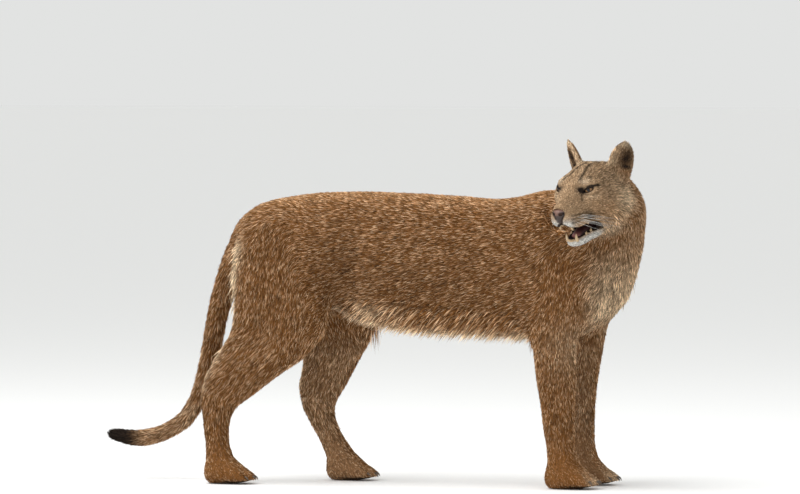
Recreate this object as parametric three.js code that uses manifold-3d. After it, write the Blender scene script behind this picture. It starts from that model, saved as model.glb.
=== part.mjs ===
// A standing cougar, life size, looking back over its right shoulder with the mouth a little open.
// Millimetres. +X is the way the body faces, +Y its left side, +Z up. The paws stand on Z = 0.
//
// The flesh is one smooth skin round a set of bones and muscles, each a chain of oval sections.
// Every node is a net of rays cast from the middle of its own form out to that skin, and the
// nodes are parted by thin cuts.
import * as THREE from 'three';
import { mergeVertices } from 'three/addons/utils/BufferGeometryUtils.js';
import Module from 'manifold-3d';

const wasm = await Module();
wasm.setup();

// Driving dimensions
const BACK_HEIGHT = 693; // ground to the top of the loin, coat included
const BELLY_HEIGHT = 352; // ground to the lowest part of the belly
const TRUNK_HALF_WIDTH = 118; // at the ribs
const LEG_TRACK = 92; // midline to the middle of a hind leg
const FORE_TRACK = 78; // midline to the middle of a wrist
const PAW_HEIGHT = 66; // where a paw is parted from its leg
const PAW_HALF_WIDTH = 45;
const TAIL_RADIUS = 27;
const HEAD_YAW = -116; // degrees from the body's heading, to the right
const HEAD_PITCH = 8; // degrees, nose down
const HEAD_AT = new THREE.Vector3(380, -227, 704); // the point midway between the eyeballs
const GAPE = 17.5; // degrees that the jaw hangs open
const EYE_SPACING = 78;
const EYE_RADIUS = 15.5;
const LID_THICKNESS = 3;
const EYE_SLANT = 17; // degrees, outer corner up
const EAR_HEIGHT = 103; // root, sunk in the head, to tip
const EAR_HALF_WIDTH = 36;
const EAR_WALL = 5;
const EAR_TURN = { right: 34, left: 48 }; // degrees outwards that an ear opens
const GAP = 0.3; // between neighbouring nodes
const SLIVER = 0.05; // the narrowest face that a cut may leave

const V = (x, y, z) => new THREE.Vector3(x, y, z);
const radians = THREE.MathUtils.degToRad;

// The field that gives the skin its place

// A section of a chain: its centre, its half-depth r in the X-Z plane and its half-width w across.
const oval = (x, y, z, r, w = r) => ({ x, y, z, r, w });

// A smooth chain through its sections, as closely spaced ovals.
function chain(sections, stepsPerSection = 5) {
  const keys = ['x', 'y', 'z', 'r', 'w'];
  const track = (key) => (i) => sections[Math.min(Math.max(i, 0), sections.length - 1)][key];
  const spaced = [];
  for (let i = 0; i < sections.length - 1; i++) {
    for (let step = 0; step < stepsPerSection; step++) {
      spaced.push(between(keys, track, i, step / stepsPerSection));
    }
  }
  spaced.push({ ...sections[sections.length - 1] });
  return spaced;
}

// Catmull-Rom between section i and the next one.
function between(keys, track, i, t) {
  const made = {};
  for (const key of keys) {
    const at = track(key);
    const [a, b, c, d] = [at(i - 1), at(i), at(i + 1), at(i + 2)];
    made[key] = 0.5 * (2 * b + (c - a) * t + (2 * a - 5 * b + 4 * c - d) * t * t
      + (3 * b - a - 3 * c + d) * t * t * t);
  }
  return made;
}

// About how far a point lies outside a chain, negative inside.
function chainDistance(ovals, p) {
  let least = Infinity;
  for (let i = 0; i < ovals.length - 1; i++) {
    const a = ovals[i];
    const b = ovals[i + 1];
    const [dx, dy, dz] = [b.x - a.x, b.y - a.y, b.z - a.z];
    const along = (p.x - a.x) * dx + (p.y - a.y) * dy + (p.z - a.z) * dz;
    const t = Math.min(Math.max(along / (dx * dx + dy * dy + dz * dz), 0), 1);
    const r = a.r + (b.r - a.r) * t;
    const w = a.w + (b.w - a.w) * t;
    const flat = Math.hypot(p.x - a.x - dx * t, p.z - a.z - dz * t) / r;
    const d = (Math.hypot(flat, (p.y - a.y - dy * t) / w) - 1) * Math.min(r, w);
    least = Math.min(least, d);
  }
  return least;
}

// About how far a point lies outside an ellipsoid with half-axes a, b and c.
const ellipsoid = (x, y, z, a, b, c) => (p) =>
  (Math.hypot((p.x - x) / a, (p.y - y) / b, (p.z - z) / c) - 1) * Math.min(a, b, c);

// Joins two distances with a fillet of about a quarter of k.
function blend(a, b, k) {
  const h = Math.max(k - Math.abs(a - b), 0) / k;
  return Math.min(a, b) - h * h * k * 0.25;
}

const blended = (fields, k) => (p) => fields.reduce((d, field) => blend(d, field(p), k), 1e3);
const flesh = (sections, steps) => {
  const ovals = chain(sections, steps);
  return (p) => chainDistance(ovals, p);
};
// The same form on both sides of the midline.
const paired = (field) => (p) => field(V(p.x, Math.abs(p.y), p.z));

// Nets of rays

// Where a ray from inside the skin comes out, or reach if it doesn't.
function exitAlong(field, from, way, reach) {
  const step = 5;
  const p = V(0, 0, 0);
  const value = (t) => field(p.copy(way).multiplyScalar(t).add(from));
  let inside = 0;
  for (let t = step; ; t += step) {
    const here = Math.min(t, reach);
    if (value(here) > 0) {
      let outside = here;
      for (let i = 0; i < 14; i++) {
        const middle = (inside + outside) / 2;
        if (value(middle) > 0) outside = middle;
        else inside = middle;
      }
      return inside;
    }
    if (here >= reach) return reach;
    inside = here;
  }
}

// A closed net over the skin round a spine. Each ring is cast square to the spine; an end with
// a dome is finished by rings that lean over to the spine's own direction, and any other is flat.
function net(field, { spine, rings, sides, reach, domes = [0, 0], square = [null, null], level = false }) {
  const curve = new THREE.CatmullRomCurve3(spine, false, 'centripetal');
  const frames = curve.computeFrenetFrames(rings - 1, false);
  const hoops = [];
  const hoop = (centre, ahead, side, lean) => {
    const up = ahead.clone().cross(side).normalize();
    const across = up.clone().cross(ahead).normalize();
    const ring = [];
    for (let i = 0; i < sides; i++) {
      const turn = (2 * Math.PI * i) / sides;
      const way = across.clone().multiplyScalar(Math.cos(turn)).addScaledVector(up, Math.sin(turn));
      way.multiplyScalar(Math.cos(lean)).addScaledVector(ahead, Math.sin(lean)).normalize();
      ring.push(centre.clone().addScaledVector(way, exitAlong(field, centre, way, reach)));
    }
    hoops.push(ring);
  };
  const centreAt = (i) => curve.getPointAt(i / (rings - 1));
  const frame = (i) => {
    if (level) return [V(0, 0, 1), V(1, 0, 0)];
    const fixed = i === 0 ? square[0] : i === rings - 1 ? square[1] : null;
    return [fixed ?? frames.tangents[i], frames.normals[i]];
  };
  const lean = (k, count) => (k / (count + 0.35)) * (Math.PI / 2);
  for (let k = domes[0]; k > 0; k--) hoop(centreAt(0), ...frame(0), -lean(k, domes[0]));
  for (let i = 0; i < rings; i++) hoop(centreAt(i), ...frame(i), 0);
  for (let k = 1; k <= domes[1]; k++) hoop(centreAt(rings - 1), ...frame(rings - 1), lean(k, domes[1]));
  const poles = [0, rings - 1].map((i, end) => {
    const centre = centreAt(i);
    if (!domes[end]) return centre;
    const way = frame(i)[0].clone().multiplyScalar(end ? 1 : -1);
    return centre.addScaledVector(way, exitAlong(field, centre, way, reach));
  });
  return closed(hoops, poles);
}

// Hoops of as many points each, joined in order and closed to a point at both ends.
function closed(hoops, poles) {
  const sides = hoops[0].length;
  const points = [poles[0], ...hoops.flat(), poles[1]];
  const faces = [];
  const at = (ring, i) => 1 + ring * sides + (i % sides);
  for (let i = 0; i < sides; i++) {
    faces.push(0, at(0, i + 1), at(0, i));
    faces.push(points.length - 1, at(hoops.length - 1, i), at(hoops.length - 1, i + 1));
    for (let ring = 0; ring < hoops.length - 1; ring++) {
      const [a, b, c, d] = [at(ring, i), at(ring, i + 1), at(ring + 1, i + 1), at(ring + 1, i)];
      if ((ring + i) % 2) faces.push(a, b, c, a, c, d);
      else faces.push(a, b, d, b, c, d);
    }
  }
  const geometry = new THREE.BufferGeometry().setFromPoints(points);
  return geometry.setIndex(faces);
}

// Solids

function solid(geometry, matrix = new THREE.Matrix4()) {
  const bare = geometry.clone().applyMatrix4(matrix);
  bare.deleteAttribute('normal');
  bare.deleteAttribute('uv');
  const merged = mergeVertices(bare, 1e-4);
  const made = new wasm.Manifold(new wasm.Mesh({
    numProp: 3,
    vertProperties: merged.attributes.position.array,
    triVerts: new Uint32Array(merged.index.array),
  }));
  if (made.volume() > 0) return made;
  return solid(flipped(merged));
}

function flipped(geometry) {
  const index = Array.from(geometry.index.array);
  for (let i = 0; i < index.length; i += 3) [index[i], index[i + 1]] = [index[i + 1], index[i]];
  return geometry.clone().setIndex(index);
}

// The largest closed body of a solid, as a geometry. A cut leaves slivers: points are brought to
// a fine grid, and the faces that fall flat are left out.
function geometryOf(made) {
  const mesh = largest(made.simplify(SLIVER)).getMesh();
  const places = new Map();
  const points = [];
  const index = [];
  for (let i = 0; i < mesh.numVert; i++) {
    const at = [0, 1, 2].map((k) => Math.round(mesh.vertProperties[i * mesh.numProp + k] / SLIVER));
    const key = at.join();
    if (!places.has(key)) {
      places.set(key, points.length / 3);
      points.push(...at.map((steps) => steps * SLIVER));
    }
    index.push(places.get(key));
  }
  const faces = new Map();
  for (let i = 0; i < mesh.triVerts.length; i += 3) {
    const face = [0, 1, 2].map((k) => index[mesh.triVerts[i + k]]);
    if (new Set(face).size < 3) continue;
    const key = [...face].sort((a, b) => a - b).join();
    if (faces.has(key)) faces.delete(key);
    else faces.set(key, face);
  }
  const geometry = new THREE.BufferGeometry()
    .setAttribute('position', new THREE.Float32BufferAttribute(points, 3))
    .setIndex([...faces.values()].flat());
  return geometry.toNonIndexed();
}

const largest = (made) => made.decompose().reduce((a, b) => (b.volume() > a.volume() ? b : a));

const joined = (solids) => solids.reduce((a, b) => a.add(b));

// All that lies ahead of a plane through a point.
function ahead(point, way) {
  const size = 3000;
  const turn = new THREE.Quaternion().setFromUnitVectors(V(0, 0, 1), way.clone().normalize());
  const middle = point.clone().addScaledVector(way.clone().normalize(), size / 2);
  return solid(new THREE.BoxGeometry(size, size, size),
    new THREE.Matrix4().compose(middle, turn, V(1, 1, 1)));
}

const ball = (r, x, y, z, stretch = V(1, 1, 1), across = 20, down = 12) =>
  solid(new THREE.SphereGeometry(r, across, down),
    new THREE.Matrix4().compose(V(x, y, z), new THREE.Quaternion(), stretch));

// Bones and muscles of the trunk, neck and tail

// A section of the trunk, from the heights of the back and belly line there.
const trunkOval = (x, top, bottom, w) => oval(x, 0, (top + bottom) / 2, (top - bottom) / 2, w);

const trunk = flesh([
  trunkOval(-428, 646, 520, 66), // rump
  trunkOval(-385, BACK_HEIGHT - 22, 452, 96), // hips
  trunkOval(-305, BACK_HEIGHT - 6, 424, 110),
  trunkOval(-195, BACK_HEIGHT, 392, TRUNK_HALF_WIDTH - 8), // loin
  trunkOval(-75, BACK_HEIGHT - 3, BELLY_HEIGHT + 9, TRUNK_HALF_WIDTH - 1), // belly
  trunkOval(60, BACK_HEIGHT - 10, BELLY_HEIGHT, TRUNK_HALF_WIDTH), // ribs
  trunkOval(190, BACK_HEIGHT - 21, BELLY_HEIGHT - 6, TRUNK_HALF_WIDTH - 8), // chest
  trunkOval(290, BACK_HEIGHT - 26, BELLY_HEIGHT - 4, TRUNK_HALF_WIDTH - 20),
  trunkOval(370, 566, 382, 82), // brisket
]);

const neck = flesh([
  oval(296, 0, 552, 127, 100),
  oval(378, -8, 580, 101, 92),
  oval(417, -45, 624, 86, 86),
  oval(434, -82, 650, 80, 84),
  oval(434, -118, 672, 72, 80),
  oval(420, -150, 684, 62, 70),
]);

const TAIL_SPINE = [
  V(-418, 0, 610), V(-468, 0, 574), V(-511, 2, 498), V(-541, 5, 405), V(-555, 8, 335),
  V(-572, 12, 262), V(-594, 16, 195), V(-632, 20, 140), V(-690, 23, 108), V(-750, 24, 98),
  V(-806, 24, 106),
];
const TAIL_THICKNESS = [1.35, 1.38, 1.25, 1.12, 1.07, 1.02, 0.97, 0.95, 0.92, 0.88, 0.76];
const tail = flesh(TAIL_SPINE.map((p, i) => oval(p.x, p.y, p.z, TAIL_RADIUS * TAIL_THICKNESS[i])));

// Legs. Each is described for the right side; a left one turns the Y of its sections round.

// Toes and pads of a paw whose heel stands under (x, y).
function pawFlesh(x, y, size) {
  const toes = [];
  for (const place of [-1.5, -0.5, 0.5, 1.5]) {
    const across = y + place * PAW_HALF_WIDTH * 0.47 * size;
    const length = (76 - 7 * place * place) * size;
    toes.push(flesh([
      oval(x + 12, y + place * 15 * size, 30, 19 * size, 15 * size),
      oval(x + length * 0.72, across, 22 * size, 19 * size, 13 * size),
      oval(x + length, across, 14 * size, 16.5 * size, 11.5 * size),
    ], 3));
  }
  const body = flesh([oval(x - 12, y, 24, 31 * size, 34 * size), oval(x + 32, y, 24, 27 * size, 38 * size)], 3);
  return blended([body, blended(toes, 5)], 10);
}

// A leg: its muscles, the line that its rays start from, the outline that parts it from the
// trunk, and its paw.
const legs = [];

for (const [side, name] of [[-1, 'right'], [1, 'left']]) {
  const right = side < 0;
  // Both forelegs stand straight; the left is half a paw's width ahead.
  const x = right ? 0 : 14;
  const y = (inches) => side * inches;
  legs.push({
    name: `foreleg_${name}`,
    paw: `forepaw_${name}`,
    side,
    heel: [x + 312, y(FORE_TRACK - 2), 1],
    reach: 112,
    muscles: blended([
      flesh([
        oval(232, y(58), 632, 56, 34), // shoulder blade
        oval(300, y(80), 560, 78, 42),
        oval(x / 2 + 356, y(86), 478, 70, 44), // point of the shoulder
      ]),
      flesh([
        oval(x / 2 + 350, y(88), 470, 70, 44),
        oval(x + 304, y(92), 415, 76, 46), // triceps
        oval(x * 1.6 + 296, y(92), 358, 59 + x / 2, 41), // elbow
        oval(x + 300, y(FORE_TRACK + 10), 265, 53, 38),
        oval(x + 302, y(FORE_TRACK + 4), 200, 45, 35),
        oval(x + 304, y(FORE_TRACK), 142, 41, 35), // wrist
        oval(x + 310, y(FORE_TRACK - 2), 82, 36, 34),
        oval(x + 318, y(FORE_TRACK - 2), 45, 34, 34),
      ]),
      pawFlesh(x + 312, y(FORE_TRACK - 2), 1),
    ], 26),
    spine: [
      V(x + 312, y(FORE_TRACK - 2), PAW_HEIGHT + GAP), V(x + 303, y(FORE_TRACK), 142),
      V(x + 301, y(FORE_TRACK + 8), 250), V(x + 300, y(92), 350), V(x * 0.5 + 318, y(90), 440),
      V(312, y(84), 540),
    ],
    outline: {
      middle: [308, 512], radius: 106, lean: 9.5,
      back: [[x + 180, -40], [x + 206, 240], [214, 350], [198, 420]],
      front: [[470, 440], [450, 380], [x + 378, 330], [x + 440, 60], [x + 460, -40]],
    },
  });
}

const hindStance = {
  // Stretched back, the shank slanting far behind.
  right: {
    thigh: [[-375, 60, 560, 98, 60], [-345, 84, 470, 106, 58], [-312, 98, 402, 74, 50], [-298, 101, 370, 61, 44]],
    hamstring: [[-420, 66, 515, 66, 52], [-416, 84, 425, 66, 50], [-432, 93, 350, 55, 42],
      [-480, 94, 288, 43, 33], [-528, 93, 234, 32, 27]],
    shank: [[-300, 101, 366, 57, 42], [-396, 97, 291, 51, 38], [-463, 94, 237, 47, 34],
      [-509, 92, 202, 45, 31], [-520, 92, 140, 35, 29], [-516, 92, 80, 31, 29], [-508, 92, 45, 31, 30]],
    spine: [[-516, 92, PAW_HEIGHT + GAP], [-521, 92, 140], [-512, 93, 212], [-452, 95, 285],
      [-382, 96, 365], [-368, 88, 450], [-375, 76, 550]],
    heel: -508,
    back: [[-610, -40], [-640, 250], [-545, 400]],
    front: [[-208, 440], [-200, 380], [-205, 340], [-330, 200], [-380, -40]],
  },
  // Set forward under the belly.
  left: {
    thigh: [[-370, 60, 560, 98, 60], [-318, 84, 480, 102, 58], [-262, 98, 415, 76, 50], [-238, 101, 386, 61, 44]],
    hamstring: [[-418, 66, 515, 66, 52], [-386, 84, 440, 62, 50], [-332, 94, 352, 48, 42],
      [-318, 95, 288, 42, 34], [-336, 93, 220, 30, 27]],
    shank: [[-236, 101, 383, 60, 44], [-268, 99, 300, 53, 40], [-298, 95, 236, 50, 34],
      [-323, 93, 196, 45, 32], [-306, 92, 136, 33, 29], [-276, 92, 80, 31, 29], [-256, 92, 45, 31, 30]],
    spine: [[-269, 92, PAW_HEIGHT + GAP], [-303, 92, 132], [-324, 93, 196], [-300, 96, 270],
      [-284, 98, 350], [-308, 90, 440], [-355, 76, 550]],
    heel: -258,
    back: [[-420, -40], [-425, 230], [-440, 300], [-520, 430]],
    front: [[-168, 440], [-150, 385], [-155, 330], [-190, 200], [-100, 60], [-90, -40]],
  },
};

for (const [name, stance] of Object.entries(hindStance)) {
  const side = name === 'right' ? -1 : 1;
  const muscle = (sections) => flesh(sections.map(([x, y, z, r, w]) => oval(x, side * y, z, r, w)));
  legs.push({
    name: `hindleg_${name}`,
    paw: `hindpaw_${name}`,
    side,
    heel: [stance.heel, side * LEG_TRACK, 0.94],
    reach: 130,
    muscles: blended([
      muscle(stance.thigh), muscle(stance.hamstring), muscle(stance.shank),
      pawFlesh(stance.heel, side * LEG_TRACK, 0.94),
    ], 26),
    spine: stance.spine.map(([x, y, z]) => V(x, side * y, z)),
    outline: { middle: [-378, 520], radius: 122, lean: 6, back: stance.back, front: stance.front },
  });
}

// The slab that a leg is parted from the trunk by: a round-topped outline seen from the side,
// from near the midline outwards.
function legRegion(leg, grow) {
  const { middle: [mx, mz], radius, back, front } = leg.outline;
  const shape = new THREE.Shape();
  back.forEach(([x, z], i) => (i ? shape.lineTo(x - grow, z) : shape.moveTo(x - grow, z)));
  shape.absarc(mx, mz, radius + grow, Math.PI + 0.25, -0.25, true);
  front.forEach(([x, z]) => shape.lineTo(x + grow, z));
  const deep = 400;
  const slab = new THREE.ExtrudeGeometry(shape, { depth: deep, bevelEnabled: false, curveSegments: 20 });
  // The outline is drawn in X-Z; it is turned upright and leans outwards with height.
  const upright = new THREE.Matrix4().makeRotationX(Math.PI / 2);
  const outward = new THREE.Matrix4().makeTranslation(0, leg.side < 0 ? grow : deep - grow, 0);
  const leaning = new THREE.Matrix4().makeRotationX(-leg.side * radians(leg.outline.lean));
  return solid(slab, leaning.multiply(outward).multiply(upright));
}

// The head, in its own frame: +x to the nose, +y its left, +z up, from midway between the eyes

const skull = blended([
  ellipsoid(-62, 0, 0, 68, 62, 52), // brain case
  paired(ellipsoid(-72, 33, 28, 24, 20, 23)), // roots of the ears
  flesh([oval(-38, 0, 7, 42, 52), oval(0, 0, -3, 31, 36)]), // forehead
  flesh([oval(0, 0, -6, 28, 26), oval(36, 0, -21, 23, 21), oval(60, 0, -37, 18, 19)]), // bridge of the nose
  ellipsoid(41, 0, -50, 34, 34, 29), // muzzle
  paired(ellipsoid(50, 18, -62, 25, 19, 21)), // whisker pads
  paired(flesh([oval(32, 27, -65, 17, 14), oval(8, 36, -61, 17, 15), oval(-14, 44, -55, 18, 15)])), // upper lip
  paired(flesh([oval(22, 24, -20, 20, 16), oval(-14, 44, -28, 26, 22)])), // below the eye
  paired(flesh([oval(10, 24, 17, 12, 12), oval(-12, 45, 12, 14, 13)])), // brow
  paired(ellipsoid(-30, 50, -20, 42, 29, 34)), // cheekbone
  paired(ellipsoid(-60, 50, -44, 44, 35, 42)), // cheek
  paired(ellipsoid(-44, 44, -74, 29, 18, 27)), // corner of the jaw
], 16);

const hinge = V(-72, 0, -38);
function jawTurned(p) {
  const [dx, dz] = [p.x - hinge.x, p.z - hinge.z];
  const [c, s] = [Math.cos(radians(GAPE)), Math.sin(radians(GAPE))];
  return V(hinge.x + dx * c - dz * s, p.y, hinge.z + dx * s + dz * c);
}
const closedJaw = blended([
  ellipsoid(44, 0, -86, 21, 20, 14), // chin
  paired(flesh([oval(38, 12, -85, 12, 11), oval(0, 29, -83, 14, 12), oval(-45, 40, -73, 23, 17)])),
  flesh([oval(28, 0, -91, 9, 17), oval(-20, 0, -94, 15, 30), oval(-60, 0, -91, 28, 40)]), // floor
], 12);
const jaw = (p) => closedJaw(jawTurned(p));

const headMatrix = new THREE.Matrix4().compose(
  HEAD_AT,
  new THREE.Quaternion().setFromEuler(new THREE.Euler(0, radians(HEAD_PITCH), radians(HEAD_YAW), 'ZYX')),
  V(1, 1, 1),
);
const toHead = headMatrix.clone().invert();
const inHead = (field) => (p) => field(p.clone().applyMatrix4(toHead));
const inWorld = (field) => (p) => field(p.clone().applyMatrix4(headMatrix));

// The skin that all share

const torsoAndNeck = blended([trunk, neck], 70);
const headAndJaw = blended([skull, jaw], 10);
const trunkSkin = (p) => blend(blend(torsoAndNeck(p), inHead(headAndJaw)(p), 36), tail(p), 36);
// A leg's skin fades to just under the trunk's, so that the two don't graze.
const legSkin = (leg) => (p) => {
  const own = leg.muscles(p);
  return blend(own, torsoAndNeck(p), 44) + 1.5 * THREE.MathUtils.smoothstep(own, 12, 34);
};
const tailSkin = (p) => blend(trunk(p), tail(p), 36);
const skullSkin = (p) => blend(skull(p), inWorld(torsoAndNeck)(p), 36);
const jawSkin = (p) => blend(jaw(p), inWorld(torsoAndNeck)(p), 30);

// The nodes

const cougar = new THREE.Group();
const COAT = new THREE.Color().setRGB(0.47, 0.34, 0.22, THREE.SRGBColorSpace);
const MATERIALS = {
  coat: new THREE.MeshStandardMaterial({ color: COAT, roughness: 0.85, metalness: 0 }),
  pale: new THREE.MeshStandardMaterial({ color: 0xcbbfae, roughness: 0.85, metalness: 0 }),
  nose: new THREE.MeshStandardMaterial({ color: 0x7b4f42, roughness: 0.5, metalness: 0 }),
  eye: new THREE.MeshStandardMaterial({ color: 0x6e5a3a, roughness: 0.1, metalness: 0 }),
  mouth: new THREE.MeshStandardMaterial({ color: 0x9c5b55, roughness: 0.4, metalness: 0 }),
};
const solids = {};

function addNode(name, made, material = MATERIALS.coat, into = cougar) {
  const mesh = new THREE.Mesh(geometryOf(made), material);
  mesh.name = name;
  into.add(mesh);
  solids[name] = made;
}

// The trunk and neck share one net, from the rump round to the skull.
const NECK_BASE = { point: V(352, 0, 560), way: V(0.78, -0.1, 0.62) };
const SKULL_BASE = { point: V(-98, 0, 0).applyMatrix4(headMatrix), way: V(0.97, 0, 0.24).transformDirection(headMatrix) };
const TAIL_ROOT = { point: V(-474, 0, 574), way: V(-0.62, 0, -0.78) };
const trunkNet = solid(net(trunkSkin, {
  spine: [V(-410, 0, 574), V(-320, 0, 560), V(-195, 0, 545), V(-60, 0, 528), V(80, 0, 520),
    V(200, 0, 518), V(300, -2, 530), V(372, -10, 575), V(412, -40, 625), V(432, -78, 665),
    V(436, -116, 695), V(420, -160, 700)],
  rings: 34, sides: 28, reach: 235, domes: [5, 0],
}));
const limbs = legs.map((leg) => solid(net(legSkin(leg), {
  spine: leg.spine, rings: 17, sides: 18, reach: leg.reach, domes: [0, 3], square: [V(0, 0, 1), null],
})));
const body = trunkNet.add(joined(limbs));
const legGaps = joined(legs.map((leg) => legRegion(leg, GAP)));
const torso = body.subtract(legGaps)
  .subtract(ahead(NECK_BASE.point, NECK_BASE.way))
  .subtract(ahead(TAIL_ROOT.point, TAIL_ROOT.way));
addNode('torso', torso);
const shifted = (cut, by) => cut.point.clone().addScaledVector(cut.way.clone().normalize(), by);
const neckNode = body.intersect(ahead(shifted(NECK_BASE, GAP), NECK_BASE.way))
  .subtract(ahead(SKULL_BASE.point, SKULL_BASE.way)).subtract(legGaps);
addNode('neck', neckNode);

// Legs and paws
for (const leg of legs) {
  addNode(leg.name, body.intersect(legRegion(leg, 0)));
  const [x, y] = leg.heel;
  addNode(leg.paw, solid(net(leg.muscles, {
    spine: [V(x + 20, y, 0.01), V(x + 16, y, 22), V(x + 6, y, 44), V(x + 2, y, PAW_HEIGHT)],
    rings: 7, sides: 28, reach: 120, level: true,
  })));
}

// Tail, in three lengths
const TAIL_CUTS = [3.1, 6.4];
const tailNet = solid(net(tailSkin, {
  spine: TAIL_SPINE, rings: 32, sides: 10, reach: 70, domes: [0, 3],
}));
const tailCurve = new THREE.CatmullRomCurve3(TAIL_SPINE, false, 'centripetal');
const cutAt = (place) => {
  const t = place / (TAIL_SPINE.length - 1);
  return { point: tailCurve.getPoint(t), way: tailCurve.getTangent(t) };
};
const [upperCut, lowerCut] = TAIL_CUTS.map(cutAt);
const slice = (made, from, to) => {
  const kept = made.intersect(ahead(shifted(from, GAP), from.way));
  return to ? kept.subtract(ahead(to.point, to.way)) : kept;
};
addNode('tail_base', slice(tailNet, TAIL_ROOT, upperCut).subtract(legGaps));
addNode('tail_middle', slice(tailNet, upperCut, lowerCut));
addNode('tail_tip', slice(tailNet, lowerCut, null));

// The head's nodes, in a group with the head's own frame

const head = new THREE.Group();
head.applyMatrix4(headMatrix);
cougar.add(head);

const eyeCentre = (side) => V(0, side * EYE_SPACING / 2, 0);
// The way an eye looks: forward and a little out.
const gaze = (side) => V(0.93, side * 0.36, 0.02).normalize();

// An eyelid ring: a shell over the eyeball with an almond opening.
function lids(side) {
  const centre = eyeCentre(side);
  const shell = ball(EYE_RADIUS + LID_THICKNESS, centre.x, centre.y, centre.z, V(1, 1, 1), 16, 10);
  const [half, rise] = [14.5, 6.2];
  const radius = (half * half + rise * rise) / (2 * rise);
  const angle = Math.asin(half / radius);
  const almond = new THREE.Shape();
  almond.absarc(0, rise - radius, radius, Math.PI / 2 + angle, Math.PI / 2 - angle, true);
  almond.absarc(0, radius - rise, radius, -Math.PI / 2 + angle, -Math.PI / 2 - angle, true);
  const cutter = new THREE.ExtrudeGeometry(almond, { depth: 60, bevelEnabled: false, curveSegments: 8 });
  const facing = new THREE.Matrix4().lookAt(V(0, 0, 0), gaze(side).negate(), V(0, 0, 1));
  const place = new THREE.Matrix4().makeTranslation(centre.x, centre.y, centre.z)
    .multiply(facing).multiply(new THREE.Matrix4().makeRotationZ(side * radians(EYE_SLANT)));
  return { shell, opening: solid(cutter, place) };
}

const nostril = (side) => joined([
  ball(5.5, 82, side * 9.5, -47, V(1.7, 0.85, 0.8), 7, 5),
  ball(4, 77, side * 17, -45, V(1.8, 1.2, 0.6), 7, 5),
]);

const skullNet = solid(net(skullSkin, {
  spine: [V(-150, 0, -14), V(-95, 0, -14), V(-40, 0, -20), V(10, 0, -32), V(34, 0, -42)],
  rings: 19, sides: 34, reach: 125, domes: [0, 6],
}));
// The mouth's roof: a vault under the muzzle, inside the lips.
const vault = (less) => joined([
  ball(1, 20, 0, -81, V(46 - less, 24 - less, 22 - less), 16, 8),
  ball(1, -20, 0, -78, V(40 - less, 36 - less, 23 - less), 16, 8),
]);
const noseField = blended([
  ellipsoid(67, 0, -46, 17, 21, 12),
  ellipsoid(72, 0, -60, 10, 8, 11),
], 5);
const nosePad = solid(net(noseField, {
  spine: [V(58, 0, -48), V(64, 0, -49), V(72, 0, -50)], rings: 3, sides: 14, reach: 40, domes: [1, 3],
}));
const nosePocket = solid(net((p) => noseField(p) - GAP, {
  spine: [V(58, 0, -48), V(64, 0, -49), V(72, 0, -50)], rings: 3, sides: 14, reach: 40, domes: [1, 3],
}));

// A pointed tooth, root up.
const tooth = (x, y, z, length, r, point = -1) => {
  const cone = new THREE.LatheGeometry([
    new THREE.Vector2(0, length), new THREE.Vector2(r * 0.62, length * 0.55),
    new THREE.Vector2(r, 0), new THREE.Vector2(0, -length * 0.36),
  ], 5);
  return solid(cone, new THREE.Matrix4().makeTranslation(x, y, z)
    .multiply(new THREE.Matrix4().makeRotationX(point < 0 ? -Math.PI / 2 : Math.PI / 2)));
};
const incisors = (x, z, length, point) => [-2.5, -1.5, -0.5, 0.5, 1.5, 2.5]
  .map((i) => tooth(x - 0.5 * i * i, i * 4.2, z, length, 2.4, point));
const upperTeeth = joined([
  ...[-1, 1].flatMap((side) => [
    tooth(52, side * 17, -66, 24, 5, -1), tooth(24, side * 27, -66, 13, 4.5, -1), tooth(10, side * 31, -67, 14, 5, -1),
  ]),
  ...incisors(62, -68, 9, -1),
]);

const behindSkull = ahead(V(-98 + 1.2 * GAP, 0, 0), V(-0.97, 0, -0.24));
let skullNode = skullNet.subtract(behindSkull);
skullNode = skullNode.subtract(vault(0));
for (const side of [-1, 1]) {
  const { shell, opening } = lids(side);
  const centre = eyeCentre(side);
  skullNode = skullNode.add(shell).subtract(opening)
    .subtract(ball(EYE_RADIUS + GAP, centre.x, centre.y, centre.z, V(1, 1, 1), 16, 10));
}
skullNode = skullNode.subtract(nosePocket).add(upperTeeth.subtract(ahead(V(0, 0, -62), V(0, 0, 1))));

const jawPlace = (p) => {
  const [dx, dz] = [p.x - hinge.x, p.z - hinge.z];
  const [c, s] = [Math.cos(radians(GAPE)), Math.sin(radians(GAPE))];
  return V(hinge.x + dx * c + dz * s, p.y, hinge.z - dx * s + dz * c);
};
const jawNet = solid(net(jawSkin, {
  spine: [V(-70, 0, -78), V(-40, 0, -86), V(0, 0, -88), V(30, 0, -88)].map(jawPlace),
  rings: 10, sides: 20, reach: 70, domes: [2, 4],
}));
const jawMatrix = new THREE.Matrix4().makeTranslation(hinge.x, hinge.y, hinge.z)
  .multiply(new THREE.Matrix4().makeRotationY(radians(GAPE)))
  .multiply(new THREE.Matrix4().makeTranslation(-hinge.x, -hinge.y, -hinge.z));
const inJaw = (made) => made.transform(jawMatrix.elements);
const trough = joined([
  ball(1, 20, 0, -71, V(34, 17, 14), 14, 7), ball(1, -24, 0, -69, V(42, 31, 18), 14, 7),
]);
const lowerTeeth = joined([
  ...[-1, 1].flatMap((side) => [
    tooth(50, side * 13.5, -80, 19, 4.6, 1), tooth(22, side * 21, -78, 11, 4, 1), tooth(8, side * 25, -78, 12, 4.4, 1),
  ]),
  ...incisors(57, -78, 6.5, 1).map((made) => made.intersect(ahead(V(0, 0, -90), V(0, 0, 1)))),
]);
const skullGrown = solid(net((p) => skullSkin(p) - GAP, {
  spine: [V(-150, 0, -14), V(-95, 0, -14), V(-40, 0, -20), V(10, 0, -32), V(34, 0, -42)],
  rings: 19, sides: 34, reach: 126, domes: [0, 6],
})).subtract(vault(2 * GAP));
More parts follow.
